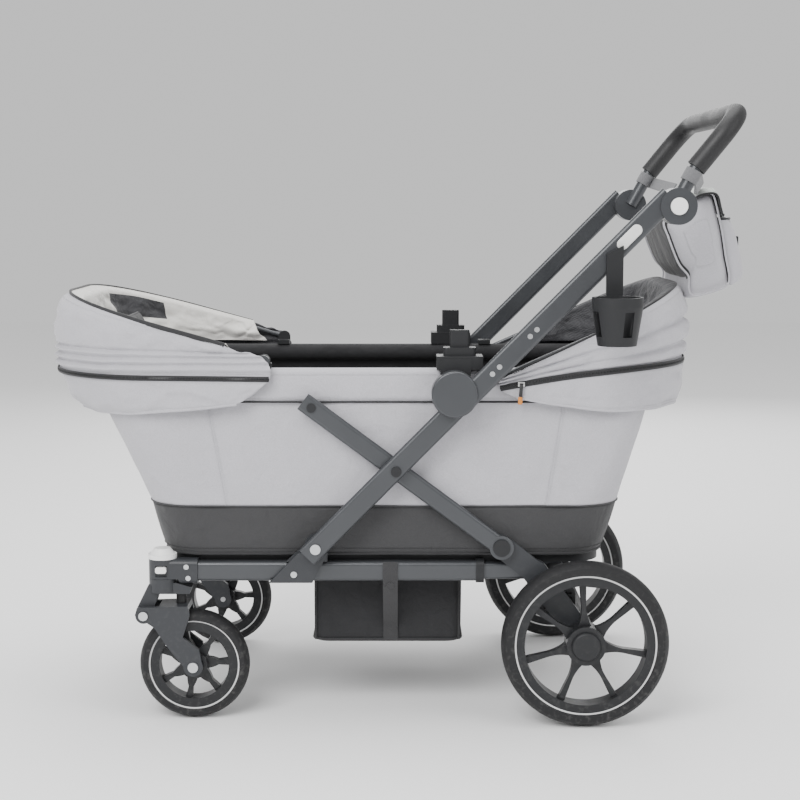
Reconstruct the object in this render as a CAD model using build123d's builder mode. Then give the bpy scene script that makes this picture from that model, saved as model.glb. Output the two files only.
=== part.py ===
from build123d import *
from math import atan2, cos, degrees, hypot, radians, sin
import os

os.makedirs("parts", exist_ok=True)

# Folding four-wheel wagon for two children, pushed from behind.
# +X points to the push handle at the rear, +Z up, left side at -Y. The origin is on the floor, at mid length.

# ---------------------------------------------------------------- driving dimensions (mm)
rear_wheel_r, rear_tyre_w, rear_track, rear_axle_x = 146.0, 44.0, 295.0, 306.0
front_wheel_r, front_tyre_w, front_track, front_axle_x = 97.0, 38.0, 243.5, -377.6
spoke_count = 7

rail_y, rail_z, rail_w, rail_h, rail_wall = 248.0, 264.6, 24.0, 35.0, 2.6
rail_front_x, rail_rear_x = -405.0, 118.0
inner_rail_front_x, inner_rail_rear_x = -80.0, 205.0
slide_gap = 0.3

arm_angle, arm_w, arm_t, arm_y, layer_gap = 45.3, 37.0, 14.0, 286.0, 0.5
handle_arm_y = arm_y + arm_t + layer_gap
leg_w, leg_t, leg_y = 33.0, 13.6, 269.4
arm_foot = (-161.0, 311.5)
cross_pivot = (-21.5, 447.0)
fold_hub = (78.0, 582.0)
tilt_hub = (451.4, 899.2)
leg_top = (-174.0, 560.0)
leg_foot = (161.5, 310.3)
fold_disc_r, fold_pin_r, fold_ring_r = 39.6, 8.0, 30.5
tilt_disc_r, tilt_pin_r, button_r, button_rise = 31.0, 7.0, 14.5, 4.0
pin_gap = 0.05
bolt_r, bar_corner = 6.0, 6.5

tub_y, tub_wall, tub_corner_r = 252.0, 4.0, 85.0
tub_top_z, tub_band_z, tub_floor_z = 620.0, 379.0, 290.0
tub_top_x, tub_band_x, tub_floor_x = (-569.0, 449.0), (-459.0, 373.0), (-433.0, 344.0)
floor_t, panel_t = 6.0, 13.8
top_rail_r, top_rail_inset, top_rail_end_inset = 10.0, 15.0, 27.0

foot_x, foot_y, foot_bottom_z, foot_wall = (-170.0, 95.0), 190.0, 118.0, 4.0
pad_t, pad_y = 34.0, 226.0
back_t, back_y = 26.0, 185.0

handle_y, handle_r, grip_r = 262.0, 12.0, 17.5
grip_start = (486.5, 963.4)
grip_top = (562.0, 1057.0)
grip_corner = 55.0

front_hinge, front_crown = (-250.0, 634.0), (-605.0, 737.0)
rear_hinge, rear_crown = (155.0, 606.0), (484.0, 752.0)
bow_y, bow_r, eye_r = 262.0, 4.0, 9.0
canopy_y, canopy_inner_y = 272.0, 252.5

swivel = (-432.0, 243.5)
swing_pivot = (-463.0, 189.0)
swing_pin_r = 4.0

bag_y = 150.0
cup_x, cup_top_z, cup_bottom_z, cup_bore_r, cup_wall, cup_foot_r = 345.0, 750.0, 670.0, 38.0, 4.5, 28.0
cup_band, cup_floor, cup_clip_half = 16.0, 5.0, 14.0


# ---------------------------------------------------------------- helpers
def write(block, name):
    block.part.label = name
    export_step(block.part, f"parts/{name}.step")


def write_sides(block, name):
    """The left piece, and its mirror image on the right."""
    write(block, f"left_{name}")
    with BuildPart() as other:
        mirror(block.part, about=Plane.XZ)
    write(other, f"right_{name}")


def side_plane(y):
    """A plane facing left at y mm left of the middle: sketch x is +X, sketch y is +Z."""
    return Plane.XZ.offset(y)


def across_plane(start, end, y):
    """The section plane of a straight bar in side view: sketch x is across the wagon."""
    run = (end[0] - start[0], 0, end[1] - start[1])
    return Plane(origin=(start[0], -y, start[1]), x_dir=(0, 1, 0), z_dir=run)


def along(point, angle, run, lift=0.0):
    """A point run mm from the given one at this angle, then lift mm to its left."""
    a = radians(angle)
    return point[0] + run * cos(a) - lift * sin(a), point[1] + run * sin(a) + lift * cos(a)


def distance(a, b):
    return hypot(b[0] - a[0], b[1] - a[1])


def slope(a, b):
    return degrees(atan2(b[1] - a[1], b[0] - a[0]))


def ring_box(x_range, y, radius):
    """A rounded rectangle around x_range, y mm to each side."""
    with Locations(((x_range[0] + x_range[1]) / 2, 0)):
        RectangleRounded(x_range[1] - x_range[0], 2 * y, radius)


def grown(x_range, by):
    return x_range[0] - by, x_range[1] + by


# ---------------------------------------------------------------- wheels
def spoke_outline(hub_r, rim_in):
    """One spoke along sketch x: narrow in the middle, flaring into the hub and the rim."""
    tip_half, waist, foot, foot_half = 4.0, hub_r + (rim_in - hub_r) * 0.5, hub_r * 0.8, hub_r * 0.42
    with BuildSketch(mode=Mode.PRIVATE) as spoke:
        with BuildLine():
            Polyline((waist, tip_half), (rim_in + 2, tip_half + 2), (rim_in + 2, -tip_half - 2),
                     (waist, -tip_half))
            ThreePointArc((waist, -tip_half), (hub_r + 4, -tip_half - 5), (foot, -foot_half))
            Line((foot, -foot_half), (foot, foot_half))
            ThreePointArc((foot, foot_half), (hub_r + 4, tip_half + 5), (waist, tip_half))
        make_face()
    return spoke.sketch


def wheel(side, corner, x, r, track, tyre_w, rim_in, rim_out, hub_r, hub_half, bore_r, phase):
    """The spoked rim and the tyre of one wheel."""
    y = track if side == "left" else -track
    with BuildPart() as rim:
        with BuildSketch(side_plane(y - tyre_w * 0.4)):
            with Locations((x, r)):
                Circle(rim_out)
                Circle(rim_in, mode=Mode.SUBTRACT)
        extrude(amount=tyre_w * 0.8)
        with BuildSketch(side_plane(y - 7.0)):
            with Locations((x, r)):
                with PolarLocations(0, spoke_count, start_angle=phase):
                    add(spoke_outline(hub_r, rim_in))
        extrude(amount=14.0)
        with BuildSketch(side_plane(y - hub_half)):
            with Locations((x, r)):
                Circle(hub_r)
        extrude(amount=2 * hub_half)
        with BuildSketch(side_plane(y - hub_half - 1)):
            with Locations((x, r)):
                Circle(bore_r)
        extrude(amount=2 * hub_half + 2, mode=Mode.SUBTRACT)
    write(rim, f"{side}_{corner}_wheel")

    with BuildPart() as tyre:
        with BuildSketch(Plane(origin=(x, -y, r), x_dir=(1, 0, 0), z_dir=(0, 0, 1))):
            with BuildLine():
                half, shoulder = tyre_w / 2, r - tyre_w * 0.22
                Polyline((shoulder, -half), (rim_out, -half), (rim_out, half), (shoulder, half))
                ThreePointArc((shoulder, half), (r, 0), (shoulder, -half))
            make_face()
        revolve(axis=Axis((x, -y, r), (0, 1, 0)))
    write(tyre, f"{side}_{corner}_tyre")


rear_hub_half, rear_axle_r, front_hub_half, front_axle_r = 22.0, 8.0, 20.0, 5.0
for side in ("left", "right"):
    wheel(side, "rear", rear_axle_x, rear_wheel_r, rear_track, rear_tyre_w, 105.6, 124.0, 34.0,
          rear_hub_half, rear_axle_r + pin_gap, 93.0)
    wheel(side, "front", front_axle_x, front_wheel_r, front_track, front_tyre_w, 61.0, 80.0, 24.0,
          front_hub_half, front_axle_r + pin_gap, 3.0)

cap_r, cap_rise = 25.5, 8.0
with BuildPart() as hub_cap:
    with BuildSketch(side_plane(rear_track + rear_hub_half)):
        with Locations((rear_axle_x, rear_wheel_r)):
            Circle(cap_r)
    extrude(amount=cap_rise)
    fillet(edges().group_by(Axis.Y)[0], cap_rise - 2)
write_sides(hub_cap, "rear_hub_cap")

# ---------------------------------------------------------------- lower rails and the rear carriage
with BuildPart() as outer_rails:
    with BuildSketch(Plane.YZ.offset(rail_front_x)):
        with Locations((-rail_y, rail_z)):
            RectangleRounded(rail_w, rail_h, 8)
            RectangleRounded(rail_w - 2 * rail_wall, rail_h - 2 * rail_wall, 6, mode=Mode.SUBTRACT)
    extrude(amount=rail_rear_x - rail_front_x)
    mirror(about=Plane.XZ)
write(outer_rails, "outer_rails")

collar_l, collar_wall = 14.0, 3.0
inner_w, inner_h = rail_w - 2 * rail_wall - 2 * slide_gap, rail_h - 2 * rail_wall - 2 * slide_gap
with BuildPart() as rail_collars:
    with BuildSketch(Plane.YZ.offset(rail_rear_x)):
        with Locations((-rail_y, rail_z)):
            RectangleRounded(rail_w + 2 * collar_wall, rail_h + 2 * collar_wall, 10)
            RectangleRounded(inner_w + 2 * slide_gap, inner_h + 2 * slide_gap, 6, mode=Mode.SUBTRACT)
    extrude(amount=collar_l)
    mirror(about=Plane.XZ)
write(rail_collars, "rail_collars")

with BuildPart() as inner_rails:
    with BuildSketch(Plane.YZ.offset(inner_rail_front_x)):
        with Locations((-rail_y, rail_z)):
            RectangleRounded(inner_w, inner_h, 5.5)
            RectangleRounded(inner_w - 4, inner_h - 4, 3.5, mode=Mode.SUBTRACT)
    extrude(amount=inner_rail_rear_x - inner_rail_front_x)
    mirror(about=Plane.XZ)
write(inner_rails, "inner_rails")

rear_leg_y, rear_leg_t = 243.5, 18.0
knee, axle = (222.0, 262.0), (rear_axle_x, rear_wheel_r)
with BuildPart() as rear_legs:
    with BuildSketch(side_plane(tub_y + 0.6)):
        with Locations(((leg_foot[0] + knee[0]) / 2, (leg_foot[1] + knee[1]) / 2)):
            SlotCenterToCenter(distance(leg_foot, knee), 40, rotation=slope(leg_foot, knee))
    extrude(amount=rear_leg_y + rear_leg_t - tub_y - 0.6)
    with BuildSketch(side_plane(rear_leg_y)):
        with Locations(((axle[0] + knee[0]) / 2, (axle[1] + knee[1]) / 2)):
            SlotCenterToCenter(distance(axle, knee), 44, rotation=slope(axle, knee))
    extrude(amount=rear_leg_t)
    with BuildSketch(side_plane(rear_leg_y)):
        with Locations(axle):
            Circle(22)
    extrude(amount=28.5)
    with BuildSketch(side_plane(rear_leg_y - 10)):
        with Locations(axle):
            Circle(rear_axle_r + pin_gap)
    extrude(amount=60, mode=Mode.SUBTRACT)
    with BuildSketch(Plane.YZ.offset(inner_rail_rear_x - 60)):
        with Locations((-rail_y, rail_z)):
            RectangleRounded(inner_w, inner_h, 5.5)
    extrude(amount=60, mode=Mode.SUBTRACT)
    mirror(about=Plane.XZ)
write(rear_legs, "rear_legs")

with BuildPart() as rear_axle:
    with BuildSketch(side_plane(-rear_track - rear_hub_half + 1)):
        with Locations(axle):
            Circle(rear_axle_r)
    extrude(amount=2 * (rear_track + rear_hub_half - 1))
write(rear_axle, "rear_axle")

housing_y = rear_leg_y - 0.3
with BuildPart() as brake_housing:
    with BuildSketch(side_plane(-housing_y)):
        with Locations(axle):
            RectangleRounded(46, 40, 14)
            Circle(rear_axle_r + 0.2, mode=Mode.SUBTRACT)
    extrude(amount=2 * housing_y)
    with BuildSketch(side_plane(housing_y - 44)):
        with Locations((263, 205)):
            RectangleRounded(62, 56, 10, rotation=0)
        with BuildLine():
            Polyline((262, 190), (294, 190), (300, 160), (285, 160), (262, 190))
        make_face()
    extrude(amount=44)
    with BuildSketch(side_plane(housing_y - 4)):
        with Locations((263, 205)):
            with GridLocations(0, 9, 1, 5):
                Rectangle(50, 4)
    extrude(amount=10, mode=Mode.SUBTRACT)
write(brake_housing, "brake_housing")

pedal_pivot = (283.0, 240.5)
with BuildPart() as brake_pedal:
    with BuildSketch(side_plane(housing_y - 42)):
        with Locations(pedal_pivot):
            Circle(7)
        with BuildLine():
            Polyline((283, 247.5), (345, 240), (352, 234), (350, 229), (283, 236), (283, 247.5))
        make_face()
    extrude(amount=40)
    with BuildSketch(side_plane(housing_y - 42)):
        with Locations((303, 246), (315, 244.6), (327, 243.2), (339, 241.6)):
            RectangleRounded(5, 6, 1.5)
    extrude(amount=40)
write(brake_pedal, "brake_pedal")

# ---------------------------------------------------------------- front of the chassis
cross_tube_r = 11.0
with BuildPart() as cross_tubes:
    for tube_x in (rail_front_x + 70, foot_x[1] + cross_tube_r + 0.4):
        with BuildSketch(side_plane(-rail_y + rail_w / 2)):
            with Locations((tube_x, rail_z)):
                Circle(cross_tube_r)
                Circle(cross_tube_r - 2, mode=Mode.SUBTRACT)
        extrude(amount=2 * rail_y - rail_w)
write(cross_tubes, "cross_tubes")

cast_wall, head_r, head_bottom, head_top = 4.0, 24.0, 252.0, 286.0
stem_r = 10.0
with BuildPart() as front_castings:
    with BuildSketch(Plane.XY.offset(head_bottom)):
        with Locations((swivel[0], -swivel[1])):
            Circle(head_r)
    extrude(amount=head_top - head_bottom)
    with BuildSketch(Plane.YZ.offset(swivel[0])):
        with Locations((-rail_y, rail_z)):
            RectangleRounded(rail_w + 2 * cast_wall, rail_h + 2 * cast_wall, 10)
    extrude(amount=-369.0 - swivel[0])
    with BuildSketch(Plane.YZ.offset(rail_front_x)):
        with Locations((-rail_y, rail_z)):
            RectangleRounded(rail_w, rail_h, 8)
    extrude(amount=60, mode=Mode.SUBTRACT)
    with BuildSketch(Plane.XY.offset(head_bottom - 8)):
        with Locations((swivel[0], -swivel[1])):
            Circle(stem_r + pin_gap)
    extrude(amount=60, mode=Mode.SUBTRACT)
    with BuildSketch(Plane.XY.offset(head_bottom)):
        with Locations((swivel[0], -swivel[1])):
            Circle(head_r + 12)
    extrude(amount=-20, mode=Mode.SUBTRACT)
    with BuildSketch(side_plane(swivel[1] + head_r - 5.0)):
        with Locations((swivel[0], 266)):
            Rectangle(19.6, 19.6)
    extrude(amount=20, mode=Mode.SUBTRACT)
    mirror(about=Plane.XZ)
write(front_castings, "front_castings")

with BuildPart() as caster_caps:
    with BuildSketch(Plane.XY.offset(head_top + 0.2)):
        with Locations((swivel[0], -swivel[1])):
            Circle(25)
            Circle(stem_r + 1, mode=Mode.SUBTRACT)
    extrude(amount=8)
    with BuildSketch(Plane.XY.offset(head_top + 8)):
        with Locations((swivel[0], -swivel[1])):
            Circle(22)
    extrude(amount=10, taper=38)
    mirror(about=Plane.XZ)
write(caster_caps, "caster_caps")

with BuildPart() as swivel_lock:
    with BuildSketch(side_plane(swivel[1] + head_r - 4.8)):
        with Locations((swivel[0], 269)):
            RectangleRounded(19, 11, 4)
    extrude(amount=8.5)
write_sides(swivel_lock, "swivel_lock")

crown_y, knuckle_bottom, knuckle_half = 31.0, 227.0, 14.0
knuckle_outline = ((-456, 240), (-478, 196), (-474, 180), (-455, 180), (-446, 200), (-438, 224), (-384, 224),
                   (-380, 236), (-408, 244))
with BuildPart() as caster_knuckle:
    with BuildSketch(Plane.XY.offset(knuckle_bottom)):
        with Locations((swivel[0], -swivel[1])):
            Circle(head_r)
    extrude(amount=head_bottom - 0.5 - knuckle_bottom)
    with BuildSketch(Plane.XY.offset(230)):
        with Locations((swivel[0], -swivel[1])):
            Circle(stem_r)
    extrude(amount=head_top + 6 - 230)
    with BuildSketch(side_plane(swivel[1] - knuckle_half)):
        with BuildLine():
            Polyline(*knuckle_outline, close=True)
        make_face()
    extrude(amount=2 * knuckle_half)
    with BuildSketch(side_plane(swivel[1] - 40)):
        with Locations(swing_pivot):
            Circle(swing_pin_r + pin_gap)
    extrude(amount=80, mode=Mode.SUBTRACT)
write_sides(caster_knuckle, "caster_knuckle")

fork_outline = ((-478, 190), (-474, 203), (-386, 206), (-382, 190), (-395, 150), (-367, 128), (-361, 97),
                (-394, 97), (-420, 130), (-445, 168))
fork_wall, spring_x, spring_z, spring_r = 8.5, -400.0, (205.9, 223.7), 9.0
with BuildPart() as caster_fork:
    with BuildSketch(side_plane(swivel[1] - crown_y)):
        with BuildLine():
            Polyline(*fork_outline, close=True)
        make_face()
        with Locations((front_axle_x, front_wheel_r)):
            Circle(17)
        with Locations(swing_pivot):
            Circle(14)
    extrude(amount=2 * crown_y)
    with BuildSketch(side_plane(swivel[1] - crown_y + fork_wall)):
        with Locations((front_axle_x, front_wheel_r)):
            Circle(front_wheel_r + 4)
        with BuildLine():
            Polyline((-490, 80), (-490, 215), (-437, 215), (-437, 190), (-377, 190), (-300, 80), (-490, 80))
        make_face()
    extrude(amount=2 * (crown_y - fork_wall), mode=Mode.SUBTRACT)
    with BuildSketch(side_plane(swivel[1] - 60)):
        with Locations((front_axle_x, front_wheel_r)):
            Circle(front_axle_r + pin_gap)
    extrude(amount=120, mode=Mode.SUBTRACT)
    with BuildSketch(side_plane(swivel[1] - 60)):
        with Locations(swing_pivot):
            Circle(swing_pin_r + pin_gap)
    extrude(amount=120, mode=Mode.SUBTRACT)
write_sides(caster_fork, "caster_fork")

with BuildPart() as caster_spring:
    with BuildSketch(Plane.XY.offset(spring_z[0])):
        with Locations((spring_x, -swivel[1])):
            Circle(spring_r)
    extrude(amount=spring_z[1] - spring_z[0])
write_sides(caster_spring, "caster_spring")

with BuildPart() as caster_bolts:
    for centre, shank, head in (((front_axle_x, front_wheel_r), front_axle_r, 9.0),
                                (swing_pivot, swing_pin_r, 8.0)):
        with BuildSketch(side_plane(swivel[1] - crown_y - 1)):
            with Locations(centre):
                Circle(shank)
        extrude(amount=2 * crown_y + 2)
        with BuildSketch(side_plane(swivel[1] + crown_y + 0.2)):
            with Locations(centre):
                Circle(head)
        extrude(amount=4)
write_sides(caster_bolts, "caster_bolts")

# ---------------------------------------------------------------- side frame: brackets, arms, legs
bracket_t, ear_in, ear_out = 10.0, tub_y + 0.6, 261.5
with BuildPart() as frame_brackets:
    with BuildSketch(side_plane(rail_y + rail_w / 2 + 0.3)):
        with BuildLine():
            Polyline((-243, 247), (-168, 247), (-140, 300), (-192, 300), close=True)
        make_face()
    extrude(amount=bracket_t)
    with BuildSketch(side_plane(ear_in)):
        with BuildLine():
            Polyline((-214, 282.6), (-142, 282.6), (-140.5, 312), (-181.5, 312), close=True)
        make_face()
        with Locations(arm_foot):
            Circle(20.5)
    extrude(amount=ear_out - ear_in)
    with BuildSketch(side_plane(ear_out - 0.5)):
        with Locations(arm_foot):
            Circle(11)
    extrude(amount=arm_y - arm_t / 2 - 0.4 - ear_out + 0.5)
    with BuildSketch(side_plane(200)):
        with Locations(arm_foot):
            Circle(bolt_r + pin_gap)
    extrude(amount=120, mode=Mode.SUBTRACT)
    mirror(about=Plane.XZ)
write(frame_brackets, "frame_brackets")

arm_out = arm_y + arm_t / 2
with BuildPart() as frame_bolts:
    with BuildSketch(side_plane(ear_in)):
        with Locations(arm_foot):
            Circle(bolt_r)
    extrude(amount=arm_out + 0.4 - ear_in)
    with BuildSketch(side_plane(arm_out + 0.3)):
        with Locations(arm_foot):
            Circle(9)
    extrude(amount=3.5)
    with BuildSketch(side_plane(rail_y + rail_w / 2 + 0.3 + bracket_t)):
        with Locations((-200, 262)):
            Circle(5.5)
    extrude(amount=2.5)
    with BuildSketch(side_plane(rail_y + rail_w / 2 + cast_wall)):
        with Locations((-385, 254), (-388, 274)):
            Circle(4.5)
    extrude(amount=2.0)
    mirror(about=Plane.XZ)
write(frame_bolts, "frame_bolts")

hub_run = (fold_hub[0] - arm_foot[0]) * cos(radians(arm_angle)) + (fold_hub[1] - arm_foot[1]) * sin(
    radians(arm_angle))
tilt_run = (tilt_hub[0] - arm_foot[0]) * cos(radians(arm_angle)) + (tilt_hub[1] - arm_foot[1]) * sin(
    radians(arm_angle))
with BuildPart() as lower_arms:
    start, end = along(arm_foot, arm_angle, -21), along(arm_foot, arm_angle, hub_run - 3)
    with BuildSketch(across_plane(start, end, arm_y)):
        RectangleRounded(arm_t, arm_w, bar_corner)
    extrude(amount=hub_run + 18)
    with BuildSketch(side_plane(arm_y - arm_t / 2)):
        with Locations(fold_hub):
            Circle(fold_disc_r - 0.2)
    extrude(amount=arm_t)
    with BuildSketch(side_plane(arm_y - 20)):
        with Locations(fold_hub):
            Circle(fold_ring_r)
    extrude(amount=40, mode=Mode.SUBTRACT)
    with BuildSketch(side_plane(arm_y - 20)):
        with Locations(arm_foot, cross_pivot):
            Circle(bolt_r + pin_gap)
    extrude(amount=40, mode=Mode.SUBTRACT)
    mirror(about=Plane.XZ)
write(lower_arms, "lower_arms")

leg_angle = slope(leg_top, leg_foot)
with BuildPart() as cross_legs:
    start = along(leg_top, leg_angle, -10)
    run = distance(leg_top, leg_foot) + 4
    with BuildSketch(across_plane(start, leg_foot, leg_y)):
        RectangleRounded(leg_t, leg_w, bar_corner)
    extrude(amount=run)
    with BuildSketch(side_plane(leg_y - leg_t / 2)):
        with Locations(leg_foot):
            Circle(21)
    extrude(amount=leg_t)
    with BuildSketch(side_plane(leg_y - 20)):
        with Locations(cross_pivot, leg_foot, along(leg_top, leg_angle, 8)):
            Circle(bolt_r)
    extrude(amount=40, mode=Mode.SUBTRACT)
    mirror(about=Plane.XZ)
write(cross_legs, "cross_legs")

leg_out = leg_y + leg_t / 2
with BuildPart() as cross_leg_bolts:
    with BuildSketch(side_plane(leg_y - leg_t / 2)):
        with Locations(cross_pivot):
            Circle(bolt_r)
    extrude(amount=arm_out + 0.4 - leg_y + leg_t / 2)
    with BuildSketch(side_plane(arm_out + 0.3)):
        with Locations(cross_pivot):
            Circle(9)
    extrude(amount=3)
    with BuildSketch(side_plane(leg_y - leg_t / 2)):
        with Locations(leg_foot, along(leg_top, leg_angle, 8)):
            Circle(bolt_r)
    extrude(amount=leg_t)
    with BuildSketch(side_plane(leg_out)):
        with Locations(leg_foot):
            Circle(15)
    extrude(amount=4)
    with BuildSketch(side_plane(leg_out)):
        with Locations(along(leg_top, leg_angle, 8)):
            Circle(8)
    extrude(amount=2)
    mirror(about=Plane.XZ)
write(cross_leg_bolts, "cross_leg_bolts")

# ---------------------------------------------------------------- handle
handle_in, handle_out, disc_out = handle_arm_y - arm_t / 2, handle_arm_y + arm_t / 2, 313.0
with BuildPart() as handle_arms:
    start = along(arm_foot, arm_angle, hub_run + 3)
    end = along(arm_foot, arm_angle, tilt_run + 2)
    with BuildSketch(across_plane(start, end, handle_arm_y)):
        RectangleRounded(arm_t, arm_w, bar_corner)
    extrude(amount=distance(start, end))
    with BuildSketch(side_plane(handle_in)):
        with Locations(fold_hub):
            Circle(fold_disc_r)
    extrude(amount=disc_out - handle_in)
    fillet(edges().group_by(Axis.Y)[0].filter_by(GeomType.CIRCLE), 4)
    with BuildSketch(side_plane(handle_in - 1)):
        with Locations(fold_hub):
            Circle(fold_pin_r + pin_gap)
    extrude(amount=disc_out - handle_in - 5, mode=Mode.SUBTRACT)
    with BuildSketch(side_plane(handle_in)):
        with Locations(tilt_hub):
            Circle(tilt_disc_r)
    extrude(amount=arm_t + 3)
    with BuildSketch(side_plane(handle_in - 1)):
        with Locations(tilt_hub):
            Circle(tilt_pin_r + pin_gap)
    extrude(amount=9, mode=Mode.SUBTRACT)
    with BuildSketch(side_plane(handle_out - 4)):
        with Locations(tilt_hub):
            Circle(button_r + 0.3)
    extrude(amount=20, mode=Mode.SUBTRACT)
    mirror(about=Plane.XZ)
write(handle_arms, "handle_arms")

button_travel = 3.0
with BuildPart() as tilt_button:
    with BuildSketch(side_plane(handle_out - 4 + button_travel + 0.3)):
        with Locations(tilt_hub):
            Circle(button_r)
    extrude(amount=4 + 3 + button_rise - button_travel)
    fillet(edges().group_by(Axis.Y)[0], 1.5)
write_sides(tilt_button, "tilt_button")

screw_runs = (430.0, 447.0, 520.0, 536.0)
with BuildPart() as arm_screws:
    with BuildSketch(side_plane(handle_out)):
        for screw_run in screw_runs:
            with Locations(along(arm_foot, arm_angle, screw_run)):
                Circle(4.5)
    extrude(amount=1.5)
    mirror(about=Plane.XZ)
write(arm_screws, "arm_screws")

neck_angle = slope(tilt_hub, grip_start)
with BuildPart() as push_handle:
    with BuildLine():
        FilletPolyline((tilt_hub[0], -handle_y, tilt_hub[1]), (grip_start[0], -handle_y, grip_start[1]),
                       (grip_top[0], -handle_y, grip_top[1]), (grip_top[0], handle_y, grip_top[1]),
                       (grip_start[0], handle_y, grip_start[1]), (tilt_hub[0], handle_y, tilt_hub[1]),
                       radius=grip_corner)
    with BuildSketch(across_plane(tilt_hub, grip_start, handle_y)):
        Circle(handle_r)
    sweep()
    for disc_y in (handle_y, -handle_in + layer_gap):
        with BuildSketch(side_plane(disc_y)):
            with Locations(tilt_hub):
                Circle(tilt_disc_r)
        extrude(amount=handle_in - layer_gap - handle_y)
    for pin_y in (handle_y, -handle_in - 7):
        with BuildSketch(side_plane(pin_y)):
            with Locations(tilt_hub):
                Circle(tilt_pin_r)
        extrude(amount=handle_in + 7 - handle_y)
write(push_handle, "push_handle")

grip_gap = 0.3
with BuildPart() as push_grip:
    with BuildLine():
        FilletPolyline((grip_start[0], -handle_y, grip_start[1]), (grip_top[0], -handle_y, grip_top[1]),
                       (grip_top[0], handle_y, grip_top[1]), (grip_start[0], handle_y, grip_start[1]),
                       radius=grip_corner)
    with BuildSketch(across_plane(grip_start, grip_top, handle_y)):
        Circle(grip_r)
        Circle(handle_r + grip_gap, mode=Mode.SUBTRACT)
    sweep()
write(push_grip, "push_grip")

with BuildPart() as cup_holder:
    cup_y = -(handle_out + 6 + cup_bore_r + cup_wall)
    with BuildSketch(Plane.XY.offset(cup_bottom_z)):
        with Locations((cup_x, cup_y)):
            Circle(cup_foot_r + cup_wall)
    with BuildSketch(Plane.XY.offset(cup_top_z - cup_band)):
        with Locations((cup_x, cup_y)):
            Circle(cup_bore_r + cup_wall)
    loft()
    with BuildSketch(Plane.XY.offset(cup_bottom_z + cup_floor)):
        with Locations((cup_x, cup_y)):
            Circle(cup_foot_r)
    with BuildSketch(Plane.XY.offset(cup_top_z - cup_band)):
        with Locations((cup_x, cup_y)):
            Circle(cup_bore_r)
    loft(mode=Mode.SUBTRACT)
    with Locations((cup_x, cup_y, cup_bottom_z + 36)):
        with PolarLocations(0, 4, start_angle=22.5):
            Box(2 * (cup_bore_r + 10), 17, 42, mode=Mode.SUBTRACT)
    with BuildSketch(Plane.XY.offset(cup_top_z - cup_band)):
        with Locations((cup_x, cup_y)):
            Circle(cup_bore_r + cup_wall)
    extrude(amount=cup_band)
    with BuildSketch(side_plane(handle_out + 0.3)):
        with BuildLine():
            clip_x0, clip_x1 = cup_x - cup_clip_half, cup_x + cup_clip_half
            Polyline((clip_x0, cup_top_z - cup_clip_half), (clip_x1, cup_top_z - cup_clip_half),
                     (clip_x1, cup_top_z + 84), (clip_x0, cup_top_z + 70), close=True)
        make_face()
    extrude(amount=9)
    with BuildSketch(Plane.XY.offset(cup_top_z - 17)):
        with Locations((cup_x, cup_y)):
            Circle(cup_bore_r)
    extrude(amount=20, mode=Mode.SUBTRACT)
write(cup_holder, "cup_holder")

bag_outline = ((497, 916), (540, 929), (551, 902), (563, 850), (577, 762), (503, 733), (499, 772), (480, 792),
               (447, 873))
pocket_outline = ((553, 894), (580, 870), (585, 842), (599, 785), (597, 769), (576, 762))
pocket_hollow = ((563, 900), (577, 873), (582, 841), (595, 785), (593, 776), (581, 774), (566, 850),
                 (556, 900))
pocket_inset, pocket_wall = 12.0, 4.0
with BuildPart() as storage_bag:
    with BuildSketch(side_plane(-bag_y)):
        with BuildLine():
            Polyline(*bag_outline, close=True)
        make_face()
    extrude(amount=2 * bag_y)
    with BuildSketch(side_plane(-bag_y + pocket_inset)):
        with BuildLine():
            Polyline(*pocket_outline, close=True)
        make_face()
    extrude(amount=2 * (bag_y - pocket_inset))
    with BuildSketch(side_plane(-bag_y + pocket_inset + pocket_wall)):
        with BuildLine():
            Polyline(*pocket_hollow, close=True)
        make_face()
    extrude(amount=2 * (bag_y - pocket_inset - pocket_wall), mode=Mode.SUBTRACT)
write(storage_bag, "storage_bag")

strap_at = along(tilt_hub, neck_angle, 47)
strap_reach = handle_y - bag_y + 26
with BuildPart() as bag_straps:
    with BuildSketch(Plane(origin=(strap_at[0], -handle_y, strap_at[1]), x_dir=(0, 1, 0),
                           z_dir=(cos(radians(neck_angle)), 0, sin(radians(neck_angle))))):
        Circle(handle_r + 3)
        with BuildLine():
            Polyline((0, -handle_r - 3), (0, -handle_r), (strap_reach, -38.8), (strap_reach, -41.8),
                     (handle_y - bag_y, -41.8), close=True)
        make_face()
        Circle(handle_r + 0.4, mode=Mode.SUBTRACT)
    extrude(amount=22)
    mirror(about=Plane.XZ)
write(bag_straps, "bag_straps")

# ---------------------------------------------------------------- top frame
rail_line_z = tub_top_z - 4 - top_rail_r
with BuildPart() as top_rail:
    x0, x1 = grown(tub_top_x, -top_rail_end_inset)
    y0, corner = tub_y - top_rail_inset, tub_corner_r - top_rail_inset
    with BuildLine(Plane.XY.offset(rail_line_z)) as rail_line:
        FilletPolyline((x0, -y0), (x1, -y0), (x1, y0), (x0, y0), radius=corner, close=True)
    with BuildSketch(Plane(origin=rail_line.line @ 0, z_dir=rail_line.line % 0)):
        Circle(top_rail_r)
    sweep()
write(top_rail, "top_rail")

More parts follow.
